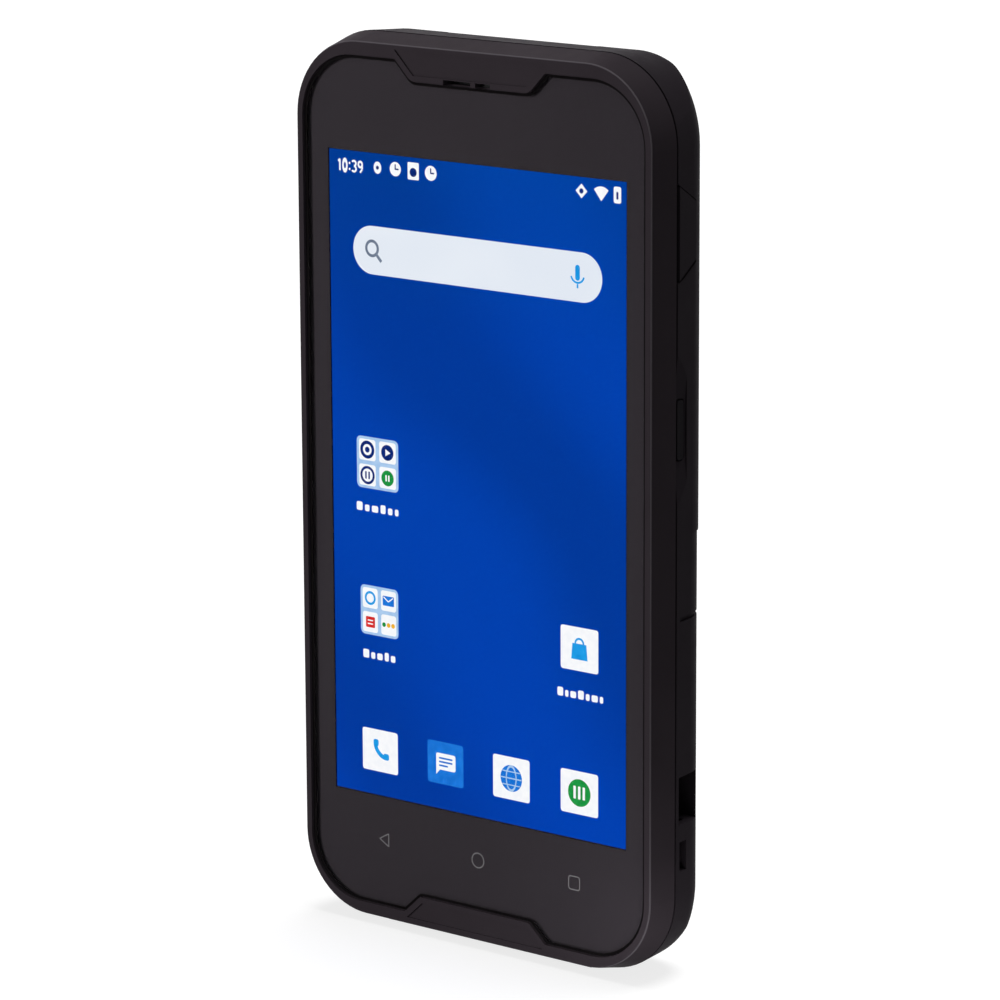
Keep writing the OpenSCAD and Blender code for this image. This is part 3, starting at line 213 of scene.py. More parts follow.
MATERIALS = {
    "housing_black": SHELL,
    "cover_black": COVER,
    "key_black": KEY,
    "cover_glass": pane("cover_glass_clear"),
    "ink_black": surface("border_ink", lin(47, 43, 47), lin(50, 46, 50), (0.5, 0.6), spec=0.01,
                         patch=30),
    "adhesive": surface("adhesive_black", lin(12, 12, 12), lin(20, 20, 20), (0.7, 0.9), spec=0.2),
    "display": surface("panel_edge", lin(6, 6, 8), lin(10, 10, 12), (0.2, 0.3), spec=0.2),
    "tray_white": surface("tray_white_plastic", lin(205, 205, 208), lin(225, 225, 228),
                          (0.4, 0.5)),
    "magnesium": surface("cast_magnesium", lin(120, 122, 126), lin(150, 152, 156), (0.45, 0.6),
                         metal=0.9, patch=300, grain=2600),
    "silicone": surface("seal_silicone", lin(48, 48, 50), lin(62, 62, 64), (0.6, 0.8), spec=0.3),
    "screw_steel": surface("screw_black_oxide", lin(34, 34, 37), lin(52, 52, 55), (0.3, 0.45),
                           metal=0.8, patch=900),
    "copper_film": surface("polyimide_film", lin(128, 74, 20), lin(160, 98, 32), (0.25, 0.4),
                           patch=400),
    "battery_wrap": surface("battery_wrap_black", lin(20, 20, 22), lin(30, 30, 32), (0.4, 0.55),
                            patch=200, grain=2400),
    "connector_body": surface("connector_black", lin(16, 16, 16), lin(28, 28, 28), (0.4, 0.5)),
    "board_green": surface("solder_mask", lin(8, 56, 26), lin(16, 84, 40), (0.3, 0.45),
                           patch=700),
    "shield_steel": surface("shield_can", lin(165, 166, 168), lin(198, 199, 201), (0.25, 0.4),
                            metal=1.0, patch=500),
    "gold_plate": surface("contact_gold", lin(196, 150, 62), lin(224, 182, 92), (0.2, 0.32),
                          metal=1.0, patch=900),
    "dark_plastic": surface("module_black", lin(14, 14, 15), lin(26, 26, 28), (0.35, 0.5),
                            patch=400),
    "mesh_black": surface("mesh_black_woven", lin(8, 8, 8), lin(40, 40, 42), (0.4, 0.6),
                          metal=0.5, patch=4000, grain=5000),
    "lamp_clear": surface("lamp_lens", lin(120, 120, 124), lin(160, 160, 165), (0.1, 0.2),
                          coat=0.5),
    "lamp_yellow": surface("lamp_phosphor", lin(214, 196, 84), lin(236, 220, 120), (0.4, 0.5),
                           patch=2500),
    "bezel_aluminium": surface("bezel_anodised", lin(28, 28, 31), lin(44, 44, 48), (0.22, 0.3),
                               metal=0.9, patch=1500),
    "optic_glass": surface("camera_glass", lin(4, 4, 7), lin(9, 8, 16), (0.02, 0.05), spec=0.12,
                           patch=300),
    "scan_glass": surface("scan_filter_glass", lin(24, 3, 5), lin(40, 6, 9), (0.03, 0.06),
                          spec=0.15, patch=200),
}
# Nodes that look different from the rest of their slot; the front housing's lighter colour is
# painted light
OWN_MATERIALS = {
    "front_housing": RIM_PAINTED_LIGHTER,
    "power_key": SLIM_KEY,
    "volume_rocker": SLIM_KEY,
    "status_lamp": surface("lamp_smoked", lin(7, 7, 8), lin(12, 11, 13), (0.15, 0.25), spec=0.1,
                           patch=400),
}

slots = {s["node"]: s["material_slot"] for s in frame["record"]["subparts"]}
for node_name, obj in frame["nodes"].items():
    material = OWN_MATERIALS.get(node_name, MATERIALS[slots[node_name]])
    if not obj.material_slots:
        obj.data.materials.append(material)
    for s in obj.material_slots:
        s.material = material


# ---- Materials of the lit screen ----

PIXEL_SCALE, PIXEL_DETAIL, PIXEL_EDGES = 900.0, 1.0, (0.35, 0.65)
FADE_BOTTOM, FADE_TOP = 0.0224, 0.1329     # m above the floor
BEAM_SCALE, BEAM_WARP, BEAM_WARP_SCALE = 7.0, 1.6, 3.0


def finish_lit(nodes, links, colour):
    """A surface that gives light in a colour and reflects none."""
    b = nodes.new("ShaderNodeBsdfPrincipled")
    b.inputs["Base Color"].default_value = grey(0)
    b.inputs["Specular IOR Level"].default_value = 0.0
    b.inputs["Roughness"].default_value = 1.0
    b.inputs["Emission Strength"].default_value = 1.0
    links.new(colour, b.inputs["Emission Color"])
    finish_shader(nodes, links, b.outputs["BSDF"])


def lit(name, dark, light, scale=PIXEL_SCALE):
    """Lit screen colour with a faint variation from place to place."""
    mat, nodes, links = new_material(name)
    fac = noise(nodes, links, scale, PIXEL_DETAIL)
    low, high = PIXEL_EDGES
    finish_lit(nodes, links, ramp(nodes, links, fac, [(low, dark), (high, light)]))
    return mat


def wallpaper(name):
    """Lit blue picture: a slow vertical gradient with broad soft beams across it."""
    mat, nodes, links = new_material(name)
    split = nodes.new("ShaderNodeSeparateXYZ")
    links.new(coords(nodes), split.inputs["Vector"])
    rise = nodes.new("ShaderNodeMapRange")
    rise.inputs["From Min"].default_value = FADE_BOTTOM
    rise.inputs["From Max"].default_value = FADE_TOP
    links.new(split.outputs["Z"], rise.inputs["Value"])
    base = ramp(nodes, links, rise.outputs["Result"], [
        (0.0, lin(0, 60, 172)), (0.45, lin(0, 60, 168)),
        (0.75, lin(0, 60, 168)), (1.0, lin(0, 62, 160))])
    wave = nodes.new("ShaderNodeTexWave")
    wave.wave_type = "BANDS"
    wave.bands_direction = "DIAGONAL"
    wave.wave_profile = "SIN"
    wave.inputs["Scale"].default_value = BEAM_SCALE
    wave.inputs["Distortion"].default_value = BEAM_WARP
    wave.inputs["Detail"].default_value = 0.0
    wave.inputs["Detail Scale"].default_value = BEAM_WARP_SCALE
    links.new(coords(nodes), wave.inputs["Vector"])
    beams = ramp(nodes, links, wave.outputs["Fac"], [
        (0.10, grey(0.84)), (0.55, grey(0.98)), (0.95, grey(1.08))])
    both = nodes.new("ShaderNodeMix")
    both.data_type = "RGBA"
    both.blend_type = "MULTIPLY"
    both.inputs["Factor"].default_value = 1.0
    links.new(base, both.inputs["A"])
    links.new(beams, both.inputs["B"])
    finish_lit(nodes, links, both.outputs["Result"])
    return mat


WHITE = lit("ui_white", lin(244, 246, 250), lin(250, 251, 253))
BAR = lit("ui_bar", lin(226, 233, 243), lin(232, 238, 246), scale=60.0)
PALE = lit("ui_pale_blue", lin(160, 194, 232), lin(172, 204, 238))
NAVY = lit("ui_navy", lin(10, 34, 104), lin(14, 42, 120))
SKY = lit("ui_sky", lin(24, 146, 222), lin(34, 158, 232))
BLUE = lit("ui_blue", lin(22, 110, 208), lin(30, 122, 220))
GREEN = lit("ui_green", lin(24, 138, 58), lin(34, 152, 70))
RED = lit("ui_red", lin(206, 36, 34), lin(222, 48, 44))
AMBER = lit("ui_amber", lin(234, 172, 32), lin(244, 186, 50))
STEEL = lit("ui_steel", lin(104, 116, 136), lin(116, 128, 148))
PICTURE = wallpaper("ui_wallpaper")


# ---- Flat shapes, as lists of (x, z) in millimetres, with z from DATUM ----

def disc(cx, cz, r, n=40):
    return [(cx + r * math.cos(2 * math.pi * k / n), cz + r * math.sin(2 * math.pi * k / n))
            for k in range(n)]


def rrect(cx, cz, w, h, r, n=8):
    """Rectangle with rounded corners of n steps."""
    pts = []
    for qx, qz, a0 in ((1, 1, 0), (-1, 1, 90), (-1, -1, 180), (1, -1, 270)):
        for k in range(n + 1):
            a = math.radians(a0 + 90 * k / n)
            pts.append((cx + qx * (w / 2 - r) + r * math.cos(a),
                        cz + qz * (h / 2 - r) + r * math.sin(a)))
    return pts


def arc(cx, cz, r, a0, a1, n=24, squash=1.0):
    """Points from angle a0 to a1 in degrees; squash stretches the height."""
    return [(cx + r * math.cos(math.radians(a0 + (a1 - a0) * k / n)),
             cz + squash * r * math.sin(math.radians(a0 + (a1 - a0) * k / n)))
            for k in range(n + 1)]


def uprights(cx, cz, offsets, w, h, r=0.1):
    """Upright bars at offsets to the side of a middle."""
    return [rrect(cx + dx, cz, w, h, r) for dx in offsets]


def sideways(p0, p1, width):
    """Step of half a width square to the line from p0 to p1."""
    dx, dz = p1[0] - p0[0], p1[1] - p0[1]
    d = math.hypot(dx, dz)
    return -dz / d * width / 2, dx / d * width / 2


def stroke(points, width, closed=False):
    """One quad, square at its ends, along each stretch of a line of points."""
    polys = []
    for p0, p1 in zip(points, points[1:] + (points[:1] if closed else [])):
        nx, nz = sideways(p0, p1, width)
        polys.append([(p0[0] + nx, p0[1] + nz), (p0[0] - nx, p0[1] - nz),
                      (p1[0] - nx, p1[1] - nz), (p1[0] + nx, p1[1] + nz)])
    return polys


def quads(one, other):
    """Quads between two lines with the same number of points."""
    return [[one[k], one[k + 1], other[k + 1], other[k]] for k in range(len(one) - 1)]


def ring(cx, cz, r, width, n=40, squash=1.0):
    pts = arc(cx, cz, r, 0, 360, n, squash)
    inner, outer = ([(cx + (x - cx) * rim / r, cz + (z - cz) * rim / r) for x, z in pts]
                    for rim in (r - width / 2, r + width / 2))
    return quads(inner, outer)


def band(points, width):
    """A smooth ribbon along a line of points."""
    left, right = [], []
    for k, (x, z) in enumerate(points):
        nx, nz = sideways(points[max(k - 1, 0)], points[min(k + 1, len(points) - 1)], width)
        left.append((x + nx, z + nz))
        right.append((x - nx, z - nz))
    return quads(left, right)


# ---- New pieces ----

def new_piece(name, mesh, mat):
    """A piece that rides on the terminal's body."""
    mesh.materials.append(mat)
    mesh.update()
    piece = bpy.data.objects.new(name, mesh)
    bpy.context.scene.collection.objects.link(piece)
    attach(piece, "terminal")
    return piece


def flat_piece(name, polys, y, mat):
    """One piece of flat polygons that face forward at depth y in millimetres."""
    verts, faces = [], []
    for poly in polys:
        area = sum(a[0] * b[1] - b[0] * a[1] for a, b in zip(poly, poly[1:] + poly[:1]))
        if area < 0:
            poly = poly[::-1]
        start = len(verts)
        verts += [(x * MM, y * MM, (z + DATUM) * MM) for x, z in poly]
        faces.append(list(range(start, start + len(poly))))
    mesh = bpy.data.meshes.new(name)
    mesh.from_pydata(verts, [], faces)
    return new_piece(name, mesh, mat)


# ---- What the screen shows, in layers that lie one just in front of the other ----

Y_PICTURE, Y_TILE, Y_GLYPH, Y_TOP, Y_DETAIL = -6.88, -6.90, -6.92, -6.94, -6.96
Y_PRINT = -6.99                            # printed border, just behind the cover glass

PICTURE_Z, PICTURE_SIZE = 77.2, (62.3, 110.7)
flat_piece("screen_picture", [rrect(0, PICTURE_Z, *PICTURE_SIZE, 0.05, 2)], Y_PICTURE, PICTURE)

# Search field with a magnifier and a microphone
flat_piece("screen_search_field", [rrect(0.1, 116.2, 52.4, 8.2, 4.09, 16)], Y_TILE, BAR)
flat_piece("screen_search_glyph",
           ring(-22.0, 116.5, 1.25, 0.5) + stroke([(-21.05, 115.5), (-20.0, 114.4)], 0.55),
           Y_GLYPH, STEEL)
VOICE_X = 21.3
flat_piece("screen_voice_glyph", [rrect(VOICE_X, 116.9, 0.95, 2.6, 0.47)], Y_GLYPH, SKY)
flat_piece("screen_voice_cradle", band(arc(VOICE_X, 116.6, 1.35, 195, 345), 0.34)
           + [rrect(VOICE_X, 114.7, 0.34, 0.7, 0.1)], Y_GLYPH, SKY)

# Folder tiles, as middle x, middle z, width and height, each with four cells
FOLDERS = {"a": (-21.3, 79.8, 9.1, 8.9), "b": (-21.2, 54.2, 8.3, 8.6)}
CELL_PLACE = 4.1                           # a cell's middle is its tile's size divided by this
CELL_WIDTH, CELL_HEIGHT, CELL_CORNER = 0.40, 0.41, 0.45
flat_piece("screen_folders", [rrect(*folder, 0.9) for folder in FOLDERS.values()], Y_TILE, PALE)
cells = []
for cx, cz, w, h in FOLDERS.values():
    cells += [rrect(cx + sx * w / CELL_PLACE, cz + sz * h / CELL_PLACE,
                    w * CELL_WIDTH, h * CELL_HEIGHT, CELL_CORNER)
              for sx in (-1, 1) for sz in (-1, 1)]
flat_piece("screen_folder_cells", cells, Y_GLYPH, WHITE)


def sign_places(folder, dx, dz):
    """Middles of the signs: upper left, upper right, lower left, lower right."""
    cx, cz = FOLDERS[folder][:2]
    return (cx - dx, cz + dz), (cx + dx, cz + dz), (cx - dx, cz - dz), (cx + dx, cz - dz)


SIGN_R = 1.35
target, play, pause, stop = sign_places("a", 2.2, 2.2)
loop, envelope, card, dots = sign_places("b", 2.0, 2.1)
flat_piece("screen_small_navy",
           ring(*target, 1.25, 0.6) + [disc(*target, 0.5)]
           + ring(*pause, SIGN_R, 0.45) + uprights(*pause, (-0.35, 0.35), 0.34, 1.3)
           + [disc(*play, SIGN_R)], Y_TOP, NAVY)
flat_piece("screen_small_green", [disc(*stop, SIGN_R), disc(dots[0] - 1.0, dots[1], 0.4)],
           Y_TOP, GREEN)
flat_piece("screen_small_white",
           [[(play[0] - 0.4, play[1] - 0.6), (play[0] + 0.7, play[1]),
             (play[0] - 0.4, play[1] + 0.6)]]
           + uprights(*stop, (-0.3, 0.3), 0.3, 1.1)
           + [rrect(card[0], card[1] + dz, 1.2, 0.22, 0.1) for dz in (0.3, -0.3)]
           + stroke([(envelope[0] - 1.05, envelope[1] + 0.65), (envelope[0], envelope[1] - 0.1),
                     (envelope[0] + 1.05, envelope[1] + 0.65)], 0.2), Y_DETAIL, WHITE)
flat_piece("screen_small_sky", ring(*loop, 1.0, 0.42), Y_TOP, SKY)
flat_piece("screen_small_card", [rrect(*card, 2.0, 1.9, 0.2)], Y_TOP, RED)
flat_piece("screen_small_envelope", [rrect(*envelope, 2.5, 1.7, 0.2)], Y_TOP, BLUE)
flat_piece("screen_small_amber", [disc(*dots, 0.4), disc(dots[0] + 1.0, dots[1], 0.4)],
           Y_TOP, AMBER)

# Single tiles, by their middles
TILES = {"shop": (21.6, 54.3), "phone": (-21.35, 29.7), "message": (-7.0, 29.9),
         "globe": (7.2, 29.8), "bars": (21.55, 29.8)}
TILE = (7.8, 7.4, 0.45)                    # width, height, corner radius
flat_piece("screen_tiles", [rrect(*middle, *TILE) for name, middle in TILES.items()
                            if name != "message"], Y_TILE, WHITE)
flat_piece("screen_tile_blue", [rrect(*TILES["message"], *TILE)], Y_TILE, BLUE)

cx, cz = TILES["shop"]
flat_piece("screen_shop_bag", [[(cx - 1.7, cz - 1.8), (cx + 1.7, cz - 1.8),
                                (cx + 1.45, cz + 0.9), (cx - 1.45, cz + 0.9)]], Y_GLYPH, SKY)
flat_piece("screen_shop_handle", band(arc(cx, cz + 0.9, 0.85, 0, 180), 0.35), Y_GLYPH, SKY)

cx, cz = TILES["phone"]
handset = arc(cx + 1.5, cz + 1.5, 2.6, 188, 262, 16)
(ear_x, ear_z), (mouth_x, mouth_z) = handset[0], handset[-1]
flat_piece("screen_phone", band(handset, 0.8)
           + [rrect(ear_x + 0.18, ear_z + 0.2, 1.15, 1.25, 0.4),
              rrect(mouth_x + 0.2, mouth_z + 0.18, 1.25, 1.15, 0.4)], Y_GLYPH, SKY)

cx, cz = TILES["message"]
flat_piece("screen_message", [rrect(cx + 0.1, cz + 0.25, 4.2, 2.9, 0.4),
                              [(cx - 2.0, cz - 0.9), (cx - 0.9, cz - 0.9), (cx - 2.0, cz - 2.1)]],
           Y_GLYPH, WHITE)
flat_piece("screen_message_lines",
           [rrect(cx + dx, cz + dz, w, 0.3, 0.1)
            for dx, dz, w in ((0.1, 0.85, 2.9), (0.1, 0.2, 2.9), (-0.4, -0.45, 1.9))],
           Y_TOP, BLUE)

cx, cz = TILES["globe"]
flat_piece("screen_globe", [disc(cx, cz, 2.3)], Y_GLYPH, BLUE)
flat_piece("screen_globe_lines", ring(cx, cz, 1.05, 0.22, squash=2.0)
           + [rrect(cx, cz + dz, w, h, 0.1)
              for dz, w, h in ((0, 4.4, 0.22), (1.15, 3.8, 0.2), (-1.15, 3.8, 0.2))],
           Y_TOP, PALE)

cx, cz = TILES["bars"]
flat_piece("screen_bars_disc", [disc(cx, cz, 2.35)], Y_GLYPH, GREEN)
flat_piece("screen_bars", uprights(cx, cz, (-0.95, 0, 0.95), 0.5, 2.2, 0.12), Y_TOP, WHITE)

# Captions under the tiles: plain blocks, as left end, right end, middle z and block widths
CAPTIONS = (
    (-26.0, -16.8, 71.9, (1.3, 1.0, 1.4, 1.1, 1.0, 0.8)),
    (-24.9, -17.8, 46.3, (1.3, 0.9, 1.2, 0.9, 1.0)),
    (17.0, 26.5, 46.4, (1.2, 0.7, 1.2, 1.2, 0.8, 1.3, 0.7)),
)
LOW_BLOCK, HIGH_BLOCK, HIGH_PLACES = 1.15, 1.5, (0, 3)
captions = []
for x0, x1, z, widths in CAPTIONS:
    gap = (x1 - x0 - sum(widths)) / (len(widths) - 1)
    x = x0
    for k, w in enumerate(widths):
        h = HIGH_BLOCK if k in HIGH_PLACES else LOW_BLOCK
        captions.append(rrect(x + w / 2, z + (h - LOW_BLOCK) / 2, w, h, 0.3))
        x += w + gap
flat_piece("screen_captions", captions, Y_TILE, WHITE)

# Status line: a clock and plain symbols
CLOCK_Z, DIGIT_HEIGHT, DIGIT_LINE = 130.0, 1.95, 0.36
CLOCK = (("1", -29.4), ("0", -28.25), ("3", -26.2), ("9", -24.85))
COLON_X, COLON_ZS = -26.72, (130.45, 129.45)


def digit(ch, x, z, h):
    """One of the clock's digits, with its left end at x, its middle at z and its height h."""
    w = h * 0.52
    if ch == "1":
        return stroke([(x + w * 0.2, z + h * 0.28), (x + w * 0.55, z + h * 0.5),
                       (x + w * 0.55, z - h * 0.5)], DIGIT_LINE)
    if ch == "0":
        r = w * 0.42
        return ring(x + w * 0.5, z, r, DIGIT_LINE, 28, h * 0.46 / r)
    if ch == "3":
        return (band(arc(x + w * 0.42, z + h * 0.24, w * 0.42, 150, -90), DIGIT_LINE)
                + band(arc(x + w * 0.42, z - h * 0.23, w * 0.45, 90, -150), DIGIT_LINE))
    return (ring(x + w * 0.45, z + h * 0.2, w * 0.40, DIGIT_LINE, 28, 1.15)
            + stroke([(x + w * 0.85, z + h * 0.2), (x + w * 0.85, z - h * 0.2),
                      (x + w * 0.4, z - h * 0.5)], 0.34))


clock = []
for ch, x in CLOCK:
    clock += digit(ch, x, CLOCK_Z, DIGIT_HEIGHT)
clock += [disc(COLON_X, z, 0.2, 12) for z in COLON_ZS]
flat_piece("screen_clock", clock, Y_TILE, WHITE)

STATUS_Z = 130.3
EGG_X, DIAL_XS, SHEET_X, DIAMOND_X, FAN_X, CELL_X = -20.65, (-16.8, -9.2), -12.95, 22.1, 26.1, 29.35
EGG_Z = 130.2


def dial_hands(x):
    """Two hands from the middle of a round sign, one up and one to the right."""
    return [rrect(x, STATUS_Z + 0.35, 0.26, 0.95, 0.1),
            rrect(x + 0.3, STATUS_Z, 0.85, 0.26, 0.1)]


flat_piece("screen_status_icons", [
    arc(EGG_X, EGG_Z, 0.83, 0, 345, 23, 1.24),
    disc(DIAL_XS[0], STATUS_Z, 1.2),
    rrect(SHEET_X, STATUS_Z, 2.4, 2.9, 0.2),
    disc(DIAL_XS[1], STATUS_Z, 1.25),
    [(DIAMOND_X - 1.2, STATUS_Z), (DIAMOND_X, STATUS_Z - 1.2),
     (DIAMOND_X + 1.2, STATUS_Z), (DIAMOND_X, STATUS_Z + 1.2)],
    [(FAN_X, 129.0), *arc(FAN_X, 129.2, 2.2, 48, 132, 12)],
    rrect(CELL_X, STATUS_Z, 1.5, 2.7, 0.35)], Y_TILE, WHITE)
flat_piece("screen_status_marks", [
    disc(EGG_X, EGG_Z, 0.32),
    *dial_hands(DIAL_XS[0]),
    disc(SHEET_X, STATUS_Z - 0.2, 0.75),
    *dial_hands(DIAL_XS[1]),
    disc(DIAMOND_X, STATUS_Z, 0.42),
    rrect(CELL_X, STATUS_Z - 0.1, 0.4, 1.2, 0.1)], Y_GLYPH, NAVY)

# Touch keys printed on the border below the picture
PRINT_LINE = 0.17
touch_keys = flat_piece(
    "touch_key_marks",
    stroke([(-21.6, 14.15), (-19.6, 15.3), (-19.6, 13.0)], PRINT_LINE, closed=True)
    + ring(0.0, 14.2, 1.28, PRINT_LINE)
    + stroke(rrect(20.5, 14.1, 2.3, 2.3, 0.45), PRINT_LINE, closed=True),
    Y_PRINT, PRINT)


# ---- Pieces on the housing, in millimetres from the floor ----

REAR_EDGE_X, REAR_EDGE_Y, REAR_EDGE_R = 31.208, 1.05, 6.74   # round edge between side and back
NOTCH_INNER_X, NOTCH_WALL_Y = 33.84, 4.2   # inner side of the notch, front of its back wall
NOTCH_LOW, NOTCH_HIGH = 26.94, 35.16
WALL_STEPS = 16


def anchor_wall():
    """Back wall of the lanyard notch, flush with the housing's rounded rear edge."""
    a0 = math.asin((NOTCH_WALL_Y - REAR_EDGE_Y) / REAR_EDGE_R)
    a1 = math.acos((NOTCH_INNER_X - REAR_EDGE_X) / REAR_EDGE_R)
    outline = [(NOTCH_INNER_X, NOTCH_WALL_Y)]
    for k in range(WALL_STEPS + 1):
        a = a0 + (a1 - a0) * k / WALL_STEPS
        outline.append((REAR_EDGE_X + REAR_EDGE_R * math.cos(a),
                        REAR_EDGE_Y + REAR_EDGE_R * math.sin(a)))
    n = len(outline)
    verts = [(x * MM, y * MM, z * MM) for z in (NOTCH_LOW, NOTCH_HIGH) for x, y in outline]
    faces = [tuple(range(n))[::-1], tuple(range(n, 2 * n))]
    faces += [(k, (k + 1) % n, n + (k + 1) % n, n + k) for k in range(n)]
    mesh = bpy.data.meshes.new("anchor_back_wall")
    mesh.from_pydata(verts, [], faces)
    # The two ends and the two flat sides stay flat; the faces along the round edge are smooth
    for k, face in enumerate(mesh.polygons):
        face.use_smooth = 3 <= k < n + 1
    new_piece("anchor_back_wall", mesh, SHELL)


GLASS_LINE = 0.45                          # width of the line
GLASS_LINE_OUT = 0.01                      # how far it stands before the glass
SAME_PLACE = 1e-6                          # m


def glass_gap_painted_shadow():
    """Painted shadow of the gap round the cover glass: a dark line just inside its outline."""
    bm = bmesh.new()
    bm.from_mesh(frame["nodes"]["touch_glass"].data)
    front = min(v.co.y for v in bm.verts)
    others = [f for f in bm.faces if any(abs(v.co.y - front) > SAME_PLACE for v in f.verts)]
    bmesh.ops.delete(bm, geom=others, context="FACES")
    bmesh.ops.remove_doubles(bm, verts=bm.verts[:], dist=SAME_PLACE)
    middle = bm.faces[:]
    bmesh.ops.inset_region(bm, faces=middle, use_boundary=True, use_even_offset=True,
                           thickness=GLASS_LINE * MM)
    bmesh.ops.delete(bm, geom=middle, context="FACES")
    bmesh.ops.translate(bm, verts=bm.verts[:], vec=(0, -GLASS_LINE_OUT * MM, 0))
    mesh = bpy.data.meshes.new("glass_gap_painted_shadow")
    bm.to_mesh(mesh)
    bm.free()
    new_piece("glass_gap_painted_shadow", mesh, PAINTED_SHADOW_BLACK)


SEAM_Y, SEAM_SIDE_X = -2.8, 38.4           # the side leans in by DRAFT behind the seam
DRAFT = math.tan(math.radians(6))
OPENING_Z, OPENING_SLANT = 117.24, 0.57    # lower edge of the opening at the seam, and its rise
# Painted shadow strip below each trigger key, by y and width, and how far it stands out
SHADOW_STRIP = ((-2.6, 0.10), (-0.9, 0.42), (2.9, 0.42))   # y and width
SHADOW_STRIP_OUT = 0.01


def trigger_gap_painted_shadow(name, side):
    """Painted shadow of the gap below a trigger key: a dark strip just outside the slanting edge of
    its opening.
    """
    verts = []
    for y, width in SHADOW_STRIP:
        x = side * (SEAM_SIDE_X - (y - SEAM_Y) * DRAFT + SHADOW_STRIP_OUT)
        edge = OPENING_Z + OPENING_SLANT * (y - SEAM_Y)
        verts += [(x * MM, y * MM, (edge - width) * MM), (x * MM, y * MM, edge * MM)]
    faces = [(0, 2, 3, 1), (2, 4, 5, 3)]
    if side < 0:
        faces = [f[::-1] for f in faces]
    mesh = bpy.data.meshes.new(name)
    mesh.from_pydata(verts, [], faces)
    new_piece(name, mesh, PAINTED_SHADOW_BLACK)


anchor_wall()
# Painted shadow of the gap round the cover glass
glass_gap_painted_shadow()
# Painted shadows of the gaps below the trigger keys
trigger_gap_painted_shadow("trigger_right_painted_shadow", 1)
trigger_gap_painted_shadow("trigger_left_painted_shadow", -1)


# ---- Floor and surroundings ----

FLOOR_HALF = 6.0                           # m
FLOOR_COLOUR, FLOOR_GLOW = 0.34, 0.80      # together near white, with a light shadow
WORLD_LEVEL = 0.16


def floor_material():
    """White floor that keeps a light shadow of the object."""
    mat, nodes, links = new_material("floor_white")
    diffuse = nodes.new("ShaderNodeBsdfDiffuse")
    diffuse.inputs["Color"].default_value = grey(FLOOR_COLOUR)
    glow = nodes.new("ShaderNodeEmission")
    glow.inputs["Color"].default_value = grey(1)
    path = nodes.new("ShaderNodeLightPath")
    seen = math_node(nodes, links, "MAXIMUM",
                     path.outputs["Is Camera Ray"], path.outputs["Is Glossy Ray"])
    links.new(math_node(nodes, links, "MULTIPLY", seen, FLOOR_GLOW), glow.inputs["Strength"])
    add = nodes.new("ShaderNodeAddShader")
    links.new(diffuse.outputs["BSDF"], add.inputs[0])
    links.new(glow.outputs["Emission"], add.inputs[1])
    finish_shader(nodes, links, add.outputs["Shader"])
    return mat


def add_floor():
    mesh = bpy.data.meshes.new("floor")
    s = FLOOR_HALF
    mesh.from_pydata([(-s, -s, 0), (s, -s, 0), (s, s, 0), (-s, s, 0)], [], [(0, 1, 2, 3)])
    mesh.materials.append(floor_material())
    floor = bpy.data.objects.new("floor", mesh)
    bpy.context.scene.collection.objects.link(floor)
    return floor


def add_world():
    """White where it is seen, directly or in gloss and glass; a dim even light elsewhere."""
    world = bpy.data.worlds.new("studio")
    world.use_nodes = True
    nodes, links = world.node_tree.nodes, world.node_tree.links
    nodes.clear()
    path = nodes.new("ShaderNodeLightPath")
    seen = math_node(nodes, links, "MAXIMUM",
                     path.outputs["Is Camera Ray"], path.outputs["Is Transmission Ray"])
    seen = math_node(nodes, links, "MAXIMUM", seen, path.outputs["Is Glossy Ray"])
    mix = nodes.new("ShaderNodeMixShader")
    links.new(seen, mix.inputs["Fac"])
    for place, level in ((1, WORLD_LEVEL), (2, 1.0)):
        sky = nodes.new("ShaderNodeBackground")
        sky.inputs["Color"].default_value = grey(1)
        sky.inputs["Strength"].default_value = level
        links.new(sky.outputs["Background"], mix.inputs[place])
    out = nodes.new("ShaderNodeOutputWorld")
    links.new(mix.outputs["Shader"], out.inputs["Surface"])
    bpy.context.scene.world = world


# ---- Light ----

MIDDLE = (0, 0, 0.07)                      # where the lamps point


def aim(name, light, location, target):
    """Place a lamp so that it points at the target."""
    obj = bpy.data.objects.new(name, light)
    obj.location = location
    direction = Vector(target) - Vector(location)
    obj.rotation_euler = direction.to_track_quat("-Z", "Y").to_euler()
    bpy.context.scene.collection.objects.link(obj)
    return obj


def sky_light(name, location, level, spread):
    """Broad even light; at level 1 a surface that faces it renders in its own colour."""
    light = bpy.data.lights.new(name, "SUN")
    light.energy = math.pi * level
    light.angle = math.radians(spread)
    aim(name, light, location, MIDDLE)


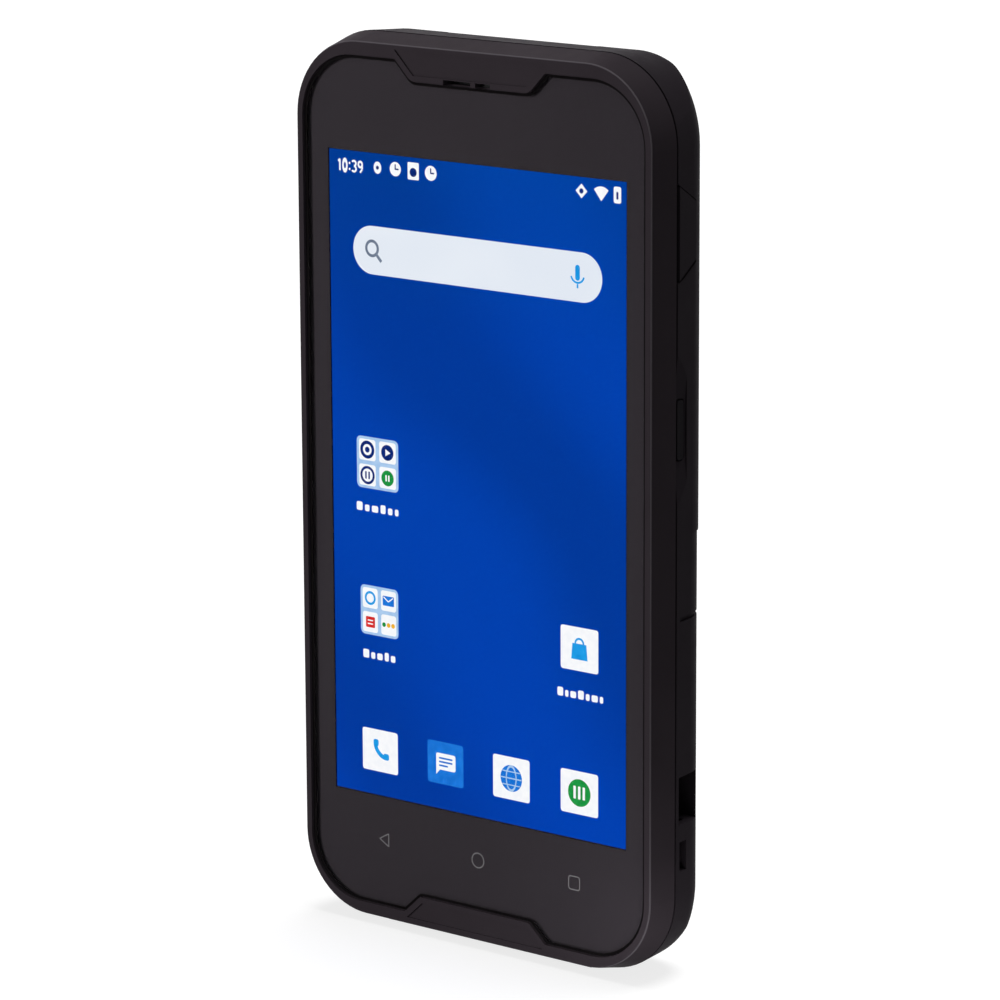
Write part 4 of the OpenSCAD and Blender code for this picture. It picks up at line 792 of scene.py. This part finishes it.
def softbox(name, location, target, size, watts, unlit):
    """Light from a soft panel that leaves the unlit collection's objects out."""
    light = bpy.data.lights.new(name, "AREA")
    light.shape = "RECTANGLE"
    light.size, light.size_y = size
    light.energy = watts
    panel = aim(name, light, location, target)
    panel.light_linking.receiver_collection = unlit
    panel.visible_camera = False
    panel.visible_glossy = False


# ---- Camera, solved from the photograph ----

AZIMUTH, ELEVATION, ROLL = 38.64, 12.57, -0.27       # degrees
CAMERA_PLACE = (0.48433, -0.60641, 0.24830)          # m, with the height from DATUM
FOCAL_PIXELS, FRAME_PIXELS, SENSOR = 4762, 1000, 36  # the sensor's width is in mm


def add_camera():
    az, el, roll = (math.radians(a) for a in (AZIMUTH, ELEVATION, ROLL))
    back = Vector((math.sin(az) * math.cos(el), -math.cos(az) * math.cos(el), math.sin(el)))
    right = (-back).cross(Vector((0, 0, 1))).normalized()
    up = right.cross(-back)
    right, up = (math.cos(roll) * right + math.sin(roll) * up,
                 -math.sin(roll) * right + math.cos(roll) * up)
    place = Vector(CAMERA_PLACE) + Vector((0, 0, DATUM * MM))
    cam = bpy.data.cameras.new("camera")
    cam.sensor_width = SENSOR
    cam.lens = FOCAL_PIXELS / FRAME_PIXELS * SENSOR
    obj = bpy.data.objects.new("camera", cam)
    obj.matrix_world = Matrix((
        (right.x, up.x, back.x, place.x),
        (right.y, up.y, back.y, place.y),
        (right.z, up.z, back.z, place.z),
        (0, 0, 0, 1)))
    bpy.context.scene.collection.objects.link(obj)
    bpy.context.scene.camera = obj


# ---- The scene ----

no_fill = bpy.data.collections.new("left_out_of_fill")
no_fill.objects.link(add_floor())
no_fill.collection_objects[0].light_linking.link_state = "EXCLUDE"
add_world()
sky_light("key_overhead", (0.05, 0.16, 1.07), level=0.85, spread=36)
PANEL = (0.4, 0.4)                         # m
softbox("fill_front", (-0.40, -0.70, 0.22), MIDDLE, PANEL, watts=5.5, unlit=no_fill)
softbox("fill_back", (-0.45, 0.70, 0.35), MIDDLE, PANEL, watts=9.0, unlit=no_fill)
# Light from the floor on the lower right corner
softbox("bounce_card", (0.050, -0.022, 0.003), (0.030, -0.004, 0.012), (0.05, 0.004),
        watts=0.008, unlit=no_fill)
add_camera()
bpy.context.scene.view_settings.view_transform = "Standard"
